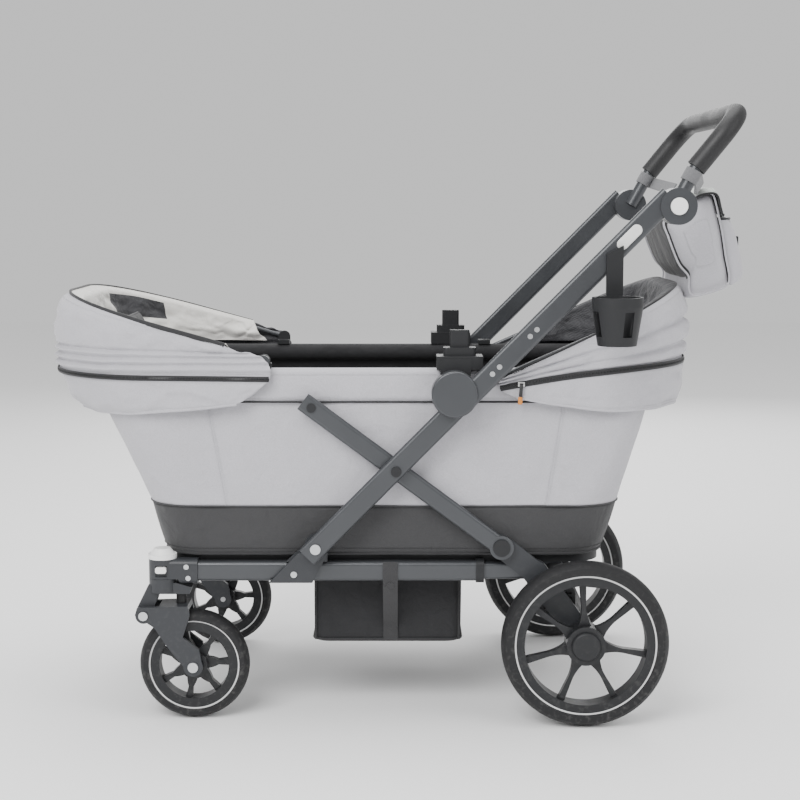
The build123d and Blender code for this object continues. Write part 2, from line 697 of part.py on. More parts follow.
saddle_x, saddle_top = (48.0, 127.0), 644.0
saddle_y, adapter_at = (-228.0, -277.0), (87.5, -252.0)
with BuildPart() as fold_hubs:
    with BuildSketch(side_plane(tub_y + 0.8)):
        with Locations(fold_hub):
            Circle(26)
        with BuildLine():
            Polyline((52, 582), (104, 582), (108, saddle_top - 4), (56, saddle_top - 4), (52, 582))
        make_face()
    extrude(amount=arm_y - arm_t / 2 - 0.4 - tub_y - 0.8)
    with BuildSketch(Plane.XY.offset(tub_top_z + 1)):
        with BuildLine():
            Polyline((saddle_x[0], saddle_y[0]), (saddle_x[1], saddle_y[0]), (saddle_x[1], saddle_y[1]),
                     (saddle_x[0], saddle_y[1]), close=True)
        make_face()
    extrude(amount=saddle_top - tub_top_z - 1)
    with BuildSketch(Plane.XY.offset(rail_line_z + 4)):
        with Locations((adapter_at[0], -y0)):
            Rectangle(50, 14)
    extrude(amount=20)
    with BuildSketch(Plane.YZ.offset(0)):
        with Locations((-y0, rail_line_z)):
            Circle(top_rail_r)
    extrude(amount=200, mode=Mode.SUBTRACT)
    with BuildSketch(side_plane(arm_y - arm_t / 2 - 2)):
        with Locations(fold_hub):
            Circle(fold_pin_r)
    extrude(amount=disc_out - 7 - arm_y + arm_t / 2 + 2)
    mirror(about=Plane.XZ)
write(fold_hubs, "fold_hubs")

with BuildPart() as car_seat_adapters:
    with BuildSketch(Plane.XY.offset(saddle_top)):
        with Locations(adapter_at):
            RectangleRounded(56, 30, 6)
    extrude(amount=14)
    with BuildSketch(Plane.XY.offset(saddle_top + 14)):
        with Locations(adapter_at):
            RectangleRounded(34, 12, 4)
    extrude(amount=30)
    mirror(about=Plane.XZ)
write(car_seat_adapters, "car_seat_adapters")

hinge_in, hinge_t, clamp_half, clamp_y = tub_y + 0.8, 4.4, 12.0, 226.0
with BuildPart() as canopy_clamps:
    for hinge in (front_hinge, rear_hinge):
        with BuildSketch(side_plane(hinge_in)):
            with Locations(hinge):
                Circle(clamp_half)
            with BuildLine():
                low, high = min(hinge[1], tub_top_z), max(hinge[1], tub_top_z + 9)
                Polyline((hinge[0] - clamp_half, low), (hinge[0] + clamp_half, low),
                         (hinge[0] + clamp_half, high), (hinge[0] - clamp_half, high), close=True)
            make_face()
        extrude(amount=hinge_t - 0.3)
        with BuildSketch(Plane.XY.offset(tub_top_z + 1)):
            with Locations((hinge[0], -(hinge_in + hinge_t + clamp_y) / 2)):
                Rectangle(2 * clamp_half, hinge_in + hinge_t - clamp_y)
        extrude(amount=8)
        with BuildSketch(Plane.XY.offset(rail_line_z + 4)):
            with Locations((hinge[0], -y0)):
                Rectangle(20, 14)
        extrude(amount=14)
        with BuildSketch(side_plane(hinge_in + hinge_t)):
            with Locations(hinge):
                Circle(5)
        extrude(amount=9)
    with BuildSketch(Plane.YZ.offset(-400)):
        with Locations((-y0, rail_line_z)):
            Circle(top_rail_r)
    extrude(amount=800, mode=Mode.SUBTRACT)
    mirror(about=Plane.XZ)
write(canopy_clamps, "canopy_clamps")


# ---------------------------------------------------------------- canopies
def canopy_bow(name, hinge, crown, corner):
    """A bent tube from one hinge eye round the end of the wagon to the other."""
    tilt = slope(hinge, crown)
    tube_start = along(hinge, tilt, eye_r)
    with BuildPart() as bow:
        with BuildLine():
            FilletPolyline((tube_start[0], -bow_y, tube_start[1]), (crown[0], -bow_y, crown[1]),
                           (crown[0], bow_y, crown[1]), (tube_start[0], bow_y, tube_start[1]), radius=corner)
        with BuildSketch(across_plane(tube_start, crown, bow_y)):
            Circle(bow_r)
        sweep()
        for y in (bow_y - bow_r - 0.5, -bow_y - bow_r - 0.5):
            with BuildSketch(side_plane(y)):
                with Locations(hinge):
                    Circle(eye_r + 2)
            extrude(amount=2 * bow_r + 1)
        with BuildSketch(side_plane(-bow_y - 20)):
            with Locations(hinge):
                Circle(5 + pin_gap)
        extrude(amount=2 * bow_y + 40, mode=Mode.SUBTRACT)
    write(bow, name)


canopy_bow("front_canopy_bow", front_hinge, front_crown, 200)
canopy_bow("rear_canopy_bow", rear_hinge, rear_crown, 190)


def canopy_stack(name, outline, hinge, plan_x, corner):
    """The folded fabric: its side outline carried round the end of the tub, open inside."""
    with BuildPart() as stack:
        with BuildSketch(side_plane(-canopy_y)):
            with BuildLine():
                Polyline(*outline, close=True)
            make_face()
        extrude(amount=2 * canopy_y)
        with BuildSketch(Plane.XY.offset(400)):
            ring_box(plan_x, canopy_y, corner)
        extrude(amount=500, mode=Mode.INTERSECT)
        for z0, x0r, z1, x1r in ((tub_band_z, tub_band_x, tub_top_z, tub_top_x),
                                 (tub_top_z, tub_top_x, tub_top_z + 200, grown(tub_top_x, 12))):
            with BuildSketch(Plane.XY.offset(z0)):
                ring_box(grown(x0r, 0.5), canopy_inner_y, tub_corner_r)
            with BuildSketch(Plane.XY.offset(z1)):
                ring_box(grown(x1r, 0.5), canopy_inner_y, tub_corner_r)
            loft(mode=Mode.SUBTRACT)
        with BuildSketch(side_plane(-bow_y - bow_r - 2)):
            with Locations(hinge):
                Circle(eye_r + 11)
        extrude(amount=2 * (bow_y + bow_r + 2), mode=Mode.SUBTRACT)
    write(stack, name)


front_line = slope(front_hinge, front_crown)
front_outline = (along(front_hinge, front_line, 370, 9), (-641, 718), (-645, 626), (-624, 580), (-590, 534),
                 (-362, 552), (-290, 556), (-252, 566), (-233, 594), (-236, 612),
                 along(front_hinge, front_line, 20, 9))
canopy_stack("front_canopy_fabric", front_outline, front_hinge, (-640, 300), 190)
rear_line = slope(rear_hinge, rear_crown)
rear_outline = (along(rear_hinge, rear_line, 20, -9), along(rear_hinge, rear_line, 358, -9), (488, 735),
                (505, 712), (497, 700), (512, 680), (509, 664), (500, 640), (492, 588), (490, 548),
                (426, 556),
                (262, 548), (190, 556), (160, 572))
canopy_stack("rear_canopy_fabric", rear_outline, rear_hinge, (-300, 513), 180)

# ---------------------------------------------------------------- tub, floor and seats
foot_cut = grown(foot_x, 0.5)
with BuildPart() as tub_base:
    with BuildSketch(Plane.XY.offset(tub_floor_z)):
        ring_box(tub_floor_x, tub_y - 4, tub_corner_r - 10)
    with BuildSketch(Plane.XY.offset(tub_band_z)):
        ring_box(tub_band_x, tub_y, tub_corner_r)
    loft()
    with BuildSketch(Plane.XY.offset(tub_floor_z + floor_t)):
        ring_box(grown(tub_floor_x, -tub_wall + 1), tub_y - 4 - tub_wall, tub_corner_r - 10 - tub_wall)
    with BuildSketch(Plane.XY.offset(tub_band_z)):
        ring_box(grown(tub_band_x, -tub_wall), tub_y - tub_wall, tub_corner_r - tub_wall)
    loft(mode=Mode.SUBTRACT)
    with BuildSketch(Plane.XY.offset(tub_floor_z - 1)):
        ring_box(foot_cut, foot_y + 0.5, 20)
    extrude(amount=20, mode=Mode.SUBTRACT)
write(tub_base, "tub_base")

with BuildPart() as tub_walls:
    with BuildSketch(Plane.XY.offset(tub_band_z + 0.2)):
        ring_box(tub_band_x, tub_y, tub_corner_r)
    with BuildSketch(Plane.XY.offset(tub_top_z)):
        ring_box(tub_top_x, tub_y, tub_corner_r)
    loft()
    with BuildSketch(Plane.XY.offset(tub_band_z + 0.2)):
        ring_box(grown(tub_band_x, -tub_wall), tub_y - tub_wall, tub_corner_r - tub_wall)
    with BuildSketch(Plane.XY.offset(tub_top_z - 3)):
        ring_box(grown(tub_top_x, -tub_wall), tub_y - tub_wall, tub_corner_r - tub_wall)
    loft(mode=Mode.SUBTRACT)
    with BuildSketch(Plane.XY.offset(tub_top_z - 4)):
        ring_box(grown(tub_top_x, -42), tub_y - 28, tub_corner_r - 28)
    extrude(amount=10, mode=Mode.SUBTRACT)
    for slot_x, slot_l in ((adapter_at[0], 51.0), (front_hinge[0], 21.0),
                           (rear_hinge[0], 21.0)):
        with BuildSketch(Plane.XY.offset(tub_top_z - 4)):
            with Locations((slot_x, -y0), (slot_x, y0)):
                Rectangle(slot_l, 15)
        extrude(amount=10, mode=Mode.SUBTRACT)
write(tub_walls, "tub_walls")

with BuildPart() as floor_panel:
    with BuildSketch(Plane.XY.offset(tub_floor_z - 0.3)):
        ring_box(grown(tub_floor_x, -6), rail_y - rail_w / 2 - 4.5, tub_corner_r - 30)
    extrude(amount=-panel_t)
    with BuildSketch(Plane.XY.offset(tub_floor_z)):
        ring_box(foot_cut, foot_y + 0.5, 20)
    extrude(amount=-20, mode=Mode.SUBTRACT)
write(floor_panel, "floor_panel")

with BuildPart() as footwell:
    with BuildSketch(Plane.XY.offset(foot_bottom_z)):
        ring_box(foot_x, foot_y, 20)
    extrude(amount=tub_floor_z + floor_t + 3.4 - foot_bottom_z)
    fillet(edges().group_by(Axis.Z)[0], 15)
    offset(amount=-foot_wall, openings=faces().sort_by(Axis.Z)[-1])
    with BuildSketch(Plane.XY.offset(tub_floor_z + floor_t + 0.4)):
        ring_box(grown(foot_x, 12), foot_y + 12, 30)
        with BuildSketch(mode=Mode.SUBTRACT):
            ring_box(grown(foot_x, -2), foot_y - 2, 18)
    extrude(amount=3)
write(footwell, "footwell")

strap_x, strap_w, strap_t = -32.0, 26.0, 2.5
strap_y, strap_in, strap_top = rail_y + rail_w / 2 + 0.4, foot_y + 0.4, rail_z + rail_h / 2
with BuildPart() as footwell_straps:
    with BuildSketch(Plane.YZ.offset(strap_x - strap_w / 2)):
        with BuildLine():
            Polyline((-strap_y, strap_top), (-strap_y, 240), (-strap_in, 150), (-strap_in, 124),
                     (-strap_in - strap_t, 124), (-strap_in - strap_t, 149), (-strap_y - strap_t, 239),
                     (-strap_y - strap_t, strap_top), close=True)
        make_face()
    extrude(amount=strap_w)
    with BuildSketch(side_plane(strap_y + strap_t - 0.5)):
        with Locations((strap_x, 240)):
            Circle(6)
    extrude(amount=2.5)
    mirror(about=Plane.XZ)
write(footwell_straps, "footwell_straps")

seat_z = tub_floor_z + floor_t + 0.3
with BuildPart() as seat_pads:
    for x_range in ((tub_floor_x[0] + 10, foot_x[0] - 14), (foot_x[1] + 14, tub_floor_x[1] - 10)):
        with BuildSketch(Plane.XY.offset(seat_z)):
            ring_box(x_range, pad_y, 50)
        extrude(amount=pad_t)
    fillet(edges().group_by(Axis.Z)[-1], 4)
write(seat_pads, "seat_pads")

pad_top = seat_z + pad_t
with BuildPart() as backrests:
    for foot_at, top in ((tub_floor_x[0] + 29, (-537, 690)), (tub_floor_x[1] - 30, (386, 600))):
        lean = abs(top[0] - foot_at) / distance((foot_at, pad_top), top)
        foot = (foot_at, pad_top + 0.3 + back_t / 2 * lean)
        with BuildSketch(across_plane(foot, top, 0)):
            RectangleRounded(2 * back_y, back_t, 12)
        extrude(amount=distance(foot, top))
write(backrests, "backrests")
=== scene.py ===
import math

import bmesh
import bpy
from bpy.props import FloatProperty, FloatVectorProperty, IntProperty, PointerProperty
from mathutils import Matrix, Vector, noise


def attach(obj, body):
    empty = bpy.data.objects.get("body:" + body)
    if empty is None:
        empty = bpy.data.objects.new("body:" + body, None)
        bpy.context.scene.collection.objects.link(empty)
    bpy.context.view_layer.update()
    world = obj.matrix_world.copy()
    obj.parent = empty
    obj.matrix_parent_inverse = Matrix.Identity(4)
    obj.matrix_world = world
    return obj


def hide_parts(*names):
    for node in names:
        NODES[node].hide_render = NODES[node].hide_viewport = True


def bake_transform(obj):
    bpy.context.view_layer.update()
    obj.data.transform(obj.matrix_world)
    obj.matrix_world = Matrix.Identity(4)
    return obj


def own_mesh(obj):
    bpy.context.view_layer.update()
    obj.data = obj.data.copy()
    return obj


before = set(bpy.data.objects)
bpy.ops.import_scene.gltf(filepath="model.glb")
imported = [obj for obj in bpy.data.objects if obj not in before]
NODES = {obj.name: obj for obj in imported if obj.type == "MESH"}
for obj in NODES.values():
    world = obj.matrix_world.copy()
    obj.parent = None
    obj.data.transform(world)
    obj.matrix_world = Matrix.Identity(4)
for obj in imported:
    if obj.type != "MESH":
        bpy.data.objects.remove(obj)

bl_info = {
    "name": "Folding push wagon",
    "version": (1, 0, 0),
    "blender": (4, 5, 0),
    "location": "3D View > Sidebar > Wagon",
    "description": "Fabric, padding, trim and finishes of a folding push wagon",
    "category": "Object",
}

MM = 0.001

# Heights and ends of the tub, in millimetres: the floor, the top of the dark band and the rim.
TUB_LEVELS = ((290.0, -433.0, 344.0, 248.0, 75.0), (379.0, -459.0, 373.0, 252.0, 85.0),
              (620.0, -569.0, 449.0, 252.0, 85.0))
# Front, rear, half width and corner radius of the footwell.
FOOTWELL = (-170.0, 95.0, 190.0, 20.0)
# The seam to the dark band, the rim band's lower edge, the last folded row and the cloth's half width.
SEAM_Z, BAND_Z, FOLD_TOP_Z, TUB_HALF = 379, 563, 612, 252
WALL = 4.2
# Length, width and height of one stitch, and the pitch and size of a zip tooth.
STITCH = (2.8, 0.8, 0.8)
TOOTH_PITCH, TOOTH = 0.0026, (1.3, 1.5, 1.5)
# The handle arm's foot and slope, the badge's place along it, and its half length and end radius.
ARM_FOOT, ARM_FACE, ARM_ANGLE = (-161.0, 311.5), 307.6, 45.3
BADGE_RUN, BADGE_HALF, BADGE_RADIUS = 754.5, 16.5, 9.5
# Centre x, centre z and radius of the pale ring on each wheel, in metres.
WHEEL_RINGS = (("rear", (0.306, 0.146, 0.1216)), ("front", (-0.3776, 0.097, 0.0786)))
FLOOR_REACH, FLOOR_DROP = 9000, -0.5
WORLD_STRENGTH = 0.78
CAMERA_PLACE, CAMERA_TILT, CAMERA_SENSOR = (-0.015, -3.0415, 0.9111), 7.05, 36.0


# ------------------------------------------------------------------ settings
def colour_setting(name, description, default):
    return FloatVectorProperty(name=name, description=description, default=default, subtype="COLOR",
                               size=3, min=0.0, max=1.0)


class WagonCloth(bpy.types.PropertyGroup):
    """Colours and depth of the fabric parts."""

    light: colour_setting("Light cloth", "Melange cloth of the tub, canopies and bag", (0.50, 0.492, 0.525))
    fleck: colour_setting("Light fleck", "Darker yarn in the light cloth", (0.335, 0.33, 0.355))
    dark: colour_setting("Charcoal cloth", "Cloth of the lower band", (0.042, 0.042, 0.044))
    black: colour_setting("Black cloth", "Lining, footwell and seats", (0.017, 0.017, 0.019))
    lining: colour_setting("Canopy lining", "Pale silver lining of the canopies", (0.66, 0.645, 0.61))
    fold: FloatProperty(name="Fold depth", description="Depth of the soft folds in the cloth", default=4.2,
                        min=0.0, max=8.0)
    roll: FloatProperty(name="Roll depth", description="How far the folded canopy layers stand out",
                        default=4.4, min=0.0, max=8.0)
    stitch: FloatProperty(name="Stitch length", description="Distance from stitch to stitch", default=0.0042,
                          min=0.002, max=0.01, unit="LENGTH")


class WagonPads(bpy.types.PropertyGroup):
    """Sizes of the seat pads and backrests."""

    crown: FloatProperty(name="Crown", description="How far the middle of a pad stands up", default=7.0,
                         min=0.0, max=15.0)
    channels: IntProperty(name="Channels", description="Sewn channels across a backrest", default=4,
                          min=1, max=8)
    webbing: FloatProperty(name="Webbing width", description="Width of the harness straps", default=25.0,
                           min=10.0, max=40.0)


class WagonHard(bpy.types.PropertyGroup):
    """Colours of the hard parts."""

    metal: colour_setting("Frame metal", "Powder-coated tube", (0.050, 0.053, 0.058))
    moulding: colour_setting("Frame moulding", "Moulded parts in the frame's colour", (0.034, 0.036, 0.040))
    plastic: colour_setting("Dark plastic", "Hubs, collars and cup holder", (0.015, 0.0155, 0.017))
    white: colour_setting("White plastic", "Caps, locks and buttons", (0.86, 0.86, 0.85))
    stripe: FloatProperty(name="Stripe width", description="Width of the ring on the wheels", default=0.0026,
                          min=0.0005, max=0.01, unit="LENGTH")


class WagonStage(bpy.types.PropertyGroup):
    """Camera, floor and light."""

    lens: FloatProperty(name="Lens", description="Focal length of the camera", default=73.1, min=20.0,
                        max=200.0, unit="CAMERA")
    key: FloatProperty(name="Key light", description="Power of the large light", default=210.0, min=0.0,
                       max=1000.0, unit="POWER")
    floor: colour_setting("Floor", "Colour of the floor", (0.93, 0.93, 0.93))


# ------------------------------------------------------------------ mesh helpers
def make_mesh(name, points, faces):
    mesh = bpy.data.meshes.new(name)
    mesh.from_pydata([Vector(p) * MM for p in points], [], faces)
    mesh.update()
    obj = bpy.data.objects.new(name, mesh)
    bpy.context.scene.collection.objects.link(obj)
    mesh.shade_smooth()
    return obj


def edit(obj, action):
    """Runs action on the mesh as a bmesh and puts the result back."""
    bm = bmesh.new()
    bm.from_mesh(obj.data)
    action(bm)
    bm.to_mesh(obj.data)
    bm.free()
    obj.data.update()


def face_out(obj):
    edit(obj, lambda bm: bmesh.ops.recalc_face_normals(bm, faces=bm.faces[:]))


def grid(name, rows, around=False, over=False):
    """Quads over rows of points: around closes each row, over joins the last row to the first."""
    n_v, n_u = len(rows), len(rows[0])
    faces = []
    for v in range(n_v if over else n_v - 1):
        for u in range(n_u if around else n_u - 1):
            w, x = (v + 1) % n_v, (u + 1) % n_u
            faces.append((v * n_u + u, v * n_u + x, w * n_u + x, w * n_u + u))
    return make_mesh(name, [p for row in rows for p in row], faces)


def closed_loft(name, rows):
    """Rings joined into a solid, with each end closed by one flat face."""
    obj = grid(name, rows, around=True)
    ends = ((0, 1), (len(rows) - 1, -1))
    n = len(rows[0])

    def cap(bm):
        bm.verts.ensure_lookup_table()
        for row, step in ends:
            bm.faces.new([bm.verts[row * n + u] for u in range(n)][::step])

    edit(obj, cap)
    face_out(obj)
    return obj


def bake_modifiers(obj):
    depsgraph = bpy.context.evaluated_depsgraph_get()
    mesh = bpy.data.meshes.new_from_object(obj.evaluated_get(depsgraph))
    old = obj.data
    obj.modifiers.clear()
    obj.data = mesh
    bpy.data.meshes.remove(old)
    mesh.name = obj.name
    return obj


def thicken(obj, thickness, inside):
    """Gives an open sheet a thickness in millimetres, with its outer side away from the inside point."""
    centre = Vector(inside) * MM
    tally = sum((f.center - centre).dot(f.normal) * f.area for f in obj.data.polygons)
    if tally < 0:
        edit(obj, lambda bm: bmesh.ops.reverse_faces(bm, faces=bm.faces[:]))
    solid = obj.modifiers.new("Thickness", "SOLIDIFY")
    solid.thickness = thickness * MM
    solid.offset = -1.0
    solid.use_rim = True
    solid.material_offset = 1
    solid.material_offset_rim = 0
    return bake_modifiers(obj)


def between(p0, p1, p2, p3, steps):
    """Smooth points from p1 up to p2, which the points on either side bend."""
    return [tuple(0.5 * (2 * b + (c - a) * t + (2 * a - 5 * b + 4 * c - d) * t * t
                         + (3 * b - a - 3 * c + d) * t ** 3)
                  for a, b, c, d in zip(p0, p1, p2, p3))
            for t in (k / steps for k in range(steps))]


def catmull(rows, steps):
    """Smooth rows of numbers through the given ones."""
    last = len(rows) - 1
    out = []
    for i in range(last):
        out += between(rows[max(i - 1, 0)], rows[i], rows[i + 1], rows[min(i + 2, last)], steps)
    out.append(tuple(rows[-1]))
    return out


def loop_smooth(points, steps):
    """A smooth closed loop through the points."""
    n = len(points)
    out = []
    for i in range(n):
        out += between(*(points[(i + k) % n] for k in (-1, 0, 1, 2)), steps)
    return out


def ripple(x, y, z, seed, length=60.0):
    """Soft noise from -1 to 1 with the given size in millimetres."""
    return noise.noise(Vector((x / length + seed * 13.7, y / length, z / length)))


def crumple(x, y, z, seed, length=60.0):
    """Soft folds with a few sharp creases, from about -1 to 1."""
    warp = 0.7 * ripple(x, y, z, seed + 3, length * 1.6)
    soft = noise.noise(Vector((x / length + warp, y / length - warp + seed * 5.1,
                               z / (length * 0.55) + warp)))
    crease = noise.noise(Vector((x / length * 0.8 - warp, y / length * 0.8 + seed,
                                 z / (length * 0.7) + 2 * warp)))
    return 1.3 * soft + 0.9 * (0.35 - min(1.0, abs(crease) * 2.6))


def round_section(across, deep=None, sides=12):
    deep = across if deep is None else deep
    return [(deep * math.cos(2 * math.pi * k / sides), across * math.sin(2 * math.pi * k / sides))
            for k in range(sides)]


def strap_section(width, thick):
    w, t, c = width / 2, thick / 2, min(thick / 3, 0.8)
    return [(t - c, -w), (t, -w + c), (t, w - c), (t - c, w), (c - t, w), (-t, w - c), (-t, c - w),
            (c - t, -w)]


def sweep(name, path, section, up=(0, 0, 1), closed=False):
    """Carries a section of (along up, across) offsets down a path."""
    path = [Vector(p) for p in path]
    n = len(path)
    rows = []
    for i, p in enumerate(path):
        before = path[i - 1] if (i or closed) else p
        after = path[(i + 1) % n] if (i < n - 1 or closed) else p
        tangent = (after - before).normalized()
        hint = Vector(up(i) if callable(up) else up)
        rise = (hint - tangent * hint.dot(tangent)).normalized()
        side = tangent.cross(rise)
        rows.append([p + rise * a + side * b for a, b in section])
    if closed:
        obj = grid(name, rows, around=True, over=True)
        face_out(obj)
        return obj
    return closed_loft(name, rows)


def rounded_box(name, centre, size, bevel, turn=None):
    """A small moulded block with rounded edges."""
    obj = make_mesh(name, [], [])

    def build(bm):
        bmesh.ops.create_cube(bm, size=1.0)
        bmesh.ops.scale(bm, vec=Vector(size) * MM, verts=bm.verts[:])
        bmesh.ops.bevel(bm, geom=bm.edges[:], offset=bevel * MM, segments=3, affect="EDGES", profile=0.6)
        if turn:
            bmesh.ops.rotate(bm, cent=(0, 0, 0), matrix=turn, verts=bm.verts[:])
        bmesh.ops.translate(bm, vec=Vector(centre) * MM, verts=bm.verts[:])
        for f in bm.faces:
            f.smooth = True

    edit(obj, build)
    return obj


def joined(name, objs):
    """Several meshes as one piece, with their materials."""
    bm = bmesh.new()
    mats = []
    for o in objs:
        start = len(bm.faces)
        bm.from_mesh(o.data)
        bm.faces.ensure_lookup_table()
        own = list(o.data.materials)
        index = []
        for m in own:
            if m not in mats:
                mats.append(m)
            index.append(mats.index(m))
        for f in bm.faces[start:]:
            f.material_index = index[min(f.material_index, len(index) - 1)] if index else 0
    mesh = bpy.data.meshes.new(name)
    bm.to_mesh(mesh)
    bm.free()
    for m in mats:
        mesh.materials.append(m)
    for o in objs:
        bpy.data.objects.remove(o)
    obj = bpy.data.objects.new(name, mesh)
    bpy.context.scene.collection.objects.link(obj)
    return obj


def dress(obj, *materials):
    obj.data.materials.clear()
    for m in materials:
        obj.data.materials.append(m)
    return obj


def clad(obj, slot, *materials):
    """Gives a piece its materials; the slot is not used."""
    dress(obj, *materials)
    return obj


def shell(name, rows, outer, inner, thickness, inside, around=False):
    """An open sheet of cloth over rows of points, with its outer and inner material and its thickness."""
    obj = dress(grid(name, rows, around=around), outer, inner)
    thicken(obj, thickness, inside)
    return obj


def paint_faces(obj, index, test):
    """Gives the faces whose centre, in millimetres, passes the test that material."""
    for f in obj.data.polygons:
        if test(f.center / MM, f.normal):
            f.material_index = index


# ------------------------------------------------------------------ shader groups and materials
def place(tree, kind, inputs=None, **settings):
    """Adds a node, sets its properties, and sets or links its inputs."""
    node = tree.nodes.new(kind)
    for key, value in settings.items():
        setattr(node, key, value)
    for key, value in (inputs or {}).items():
        if isinstance(value, bpy.types.NodeSocket):
            tree.links.new(value, node.inputs[key])
        else:
            node.inputs[key].default_value = value
    return node


def maths(tree, operation, a, b=0.0, c=0.0):
    return place(tree, "ShaderNodeMath", {0: a, 1: b, 2: c}, operation=operation).outputs[0]


def new_group(name, inputs, outputs):
    group = bpy.data.node_groups.new(name, "ShaderNodeTree")
    for label, default in inputs:
        socket = group.interface.new_socket(label, in_out="INPUT", socket_type="NodeSocketFloat")
        socket.default_value = default
    for label in outputs:
        group.interface.new_socket(label, in_out="OUTPUT", socket_type="NodeSocketFloat")
    return group, group.nodes.new("NodeGroupInput"), group.nodes.new("NodeGroupOutput")


def weave_group():
    """Plain weave: Height of the threads, Fleck for the darker yarn and Pucker for soft creases, which the
    cloth materials also use to paint shade into the hollows and light onto the crowns.
    """
    group = bpy.data.node_groups.get("Plain weave")
    if group:
        return group
    group, given, out = new_group("Plain weave",
                                  [("Threads", 900.0), ("Fleck size", 420.0), ("Pucker size", 30.0)],
                                  ["Height", "Fleck", "Pucker"])
    at = place(group, "ShaderNodeTexCoord").outputs["Object"]
    axes = place(group, "ShaderNodeSeparateXYZ", {0: at})
    warp = maths(group, "MULTIPLY_ADD", axes.outputs["Y"], 0.8, axes.outputs["X"])
    weft = maths(group, "MULTIPLY_ADD", axes.outputs["Y"], 0.35, axes.outputs["Z"])
    turn = maths(group, "MULTIPLY", given.outputs["Threads"], math.pi)
    wave_a = maths(group, "SINE", maths(group, "MULTIPLY", warp, turn))
    wave_b = maths(group, "SINE", maths(group, "MULTIPLY", weft, turn))
    cell = maths(group, "MULTIPLY_ADD", maths(group, "MULTIPLY", wave_a, wave_b), 0.5, 0.5)
    group.links.new(cell, out.inputs["Height"])
    stretch_a = place(group, "ShaderNodeVectorMath", {0: at, 1: (1.0, 1.0, 5.0)},
                      operation="MULTIPLY").outputs[0]
    stretch_b = place(group, "ShaderNodeVectorMath", {0: at, 1: (5.0, 5.0, 1.0)},
                      operation="MULTIPLY").outputs[0]
    yarn_a = place(group, "ShaderNodeTexNoise", {"Vector": stretch_a, "Scale": given.outputs["Fleck size"],
                                                 "Detail": 2.0}).outputs["Fac"]
    yarn_b = place(group, "ShaderNodeTexNoise", {"Vector": stretch_b, "Scale": given.outputs["Fleck size"],
                                                 "Detail": 2.0}).outputs["Fac"]
    mixed = maths(group, "MULTIPLY_ADD", cell, maths(group, "SUBTRACT", yarn_a, yarn_b), yarn_b)
    fleck = place(group, "ShaderNodeMapRange", {"Value": mixed, "From Min": 0.34, "From Max": 0.66})
    group.links.new(fleck.outputs[0], out.inputs["Fleck"])
    pucker = place(group, "ShaderNodeTexNoise", {"Vector": at, "Scale": given.outputs["Pucker size"],
                                                 "Detail": 3.0, "Distortion": 0.4})
    group.links.new(pucker.outputs["Fac"], out.inputs["Pucker"])
    return group


def grain_group():
    """Fine surface grain with slow patches of wear and a little dust that gathers low down."""
    group = bpy.data.node_groups.get("Surface grain")
    if group:
        return group
    group, given, out = new_group("Surface grain", [("Grain", 1400.0), ("Patch", 14.0)],
                                  ["Height", "Patch", "Dust"])
    at = place(group, "ShaderNodeTexCoord").outputs["Object"]
    grain = place(group, "ShaderNodeTexNoise", {"Vector": at, "Scale": given.outputs["Grain"], "Detail": 2.0})
    group.links.new(grain.outputs["Fac"], out.inputs["Height"])
    patch = place(group, "ShaderNodeTexNoise", {"Vector": at, "Scale": given.outputs["Patch"], "Detail": 5.0,
                                                "Roughness": 0.62})
    group.links.new(patch.outputs["Fac"], out.inputs["Patch"])
    low = place(group, "ShaderNodeMapRange",
                {"Value": place(group, "ShaderNodeSeparateXYZ", {0: at}).outputs["Z"],
                                              "From Min": 0.34, "From Max": 0.0})
    speck = place(group, "ShaderNodeTexNoise", {"Vector": at, "Scale": 120.0, "Detail": 6.0})
    gathered = place(group, "ShaderNodeMapRange",
                     {"Value": speck.outputs["Fac"], "From Min": 0.52, "From Max": 0.75})
    group.links.new(maths(group, "MULTIPLY", low.outputs[0], gathered.outputs[0]), out.inputs["Dust"])
    return group


def hide_group():
    """Small rounded cells like the skin of moulded foam. Crease is high in the creases between the cells,
    where the foam's colour is painted darker as shade.
    """
    group = bpy.data.node_groups.get("Foam skin")
    if group:
        return group
    group, given, out = new_group("Foam skin", [("Cells", 420.0)], ["Height", "Crease"])
    at = place(group, "ShaderNodeTexCoord").outputs["Object"]
    cells = place(group, "ShaderNodeTexVoronoi", {"Vector": at, "Scale": given.outputs["Cells"]},
                  feature="SMOOTH_F1")
    group.links.new(maths(group, "SUBTRACT", 1.0, cells.outputs["Distance"]), out.inputs["Height"])
    crease = place(group, "ShaderNodeMapRange", {"Value": cells.outputs["Distance"], "From Min": 0.3,
                                                 "From Max": 0.7})
    group.links.new(crease.outputs[0], out.inputs["Crease"])
    return group


def start_material(name, roughness, metallic=0.0, **sockets):
    mat = bpy.data.materials.new(name)
    mat.use_nodes = True
    tree = mat.node_tree
    shader = tree.nodes["Principled BSDF"]
    shader.inputs["Roughness"].default_value = roughness
    shader.inputs["Metallic"].default_value = metallic
    for key, value in sockets.items():
        shader.inputs[key.replace("_", " ")].default_value = value
    return mat, tree, shader


def blend_colour(tree, factor, a, b, mode="MIX"):
    node = tree.nodes.new("ShaderNodeMix")
    node.data_type = "RGBA"
    node.blend_type = mode
    for socket, value in ((node.inputs[0], factor), (node.inputs[6], a), (node.inputs[7], b)):
        if isinstance(value, bpy.types.NodeSocket):
            tree.links.new(value, socket)
        elif isinstance(value, (int, float)):
            socket.default_value = value
        else:
            socket.default_value = (*value[:3], 1.0)
    return node.outputs[2]


def shade(colour, factor):
    return tuple(min(1.0, c * factor) for c in colour)


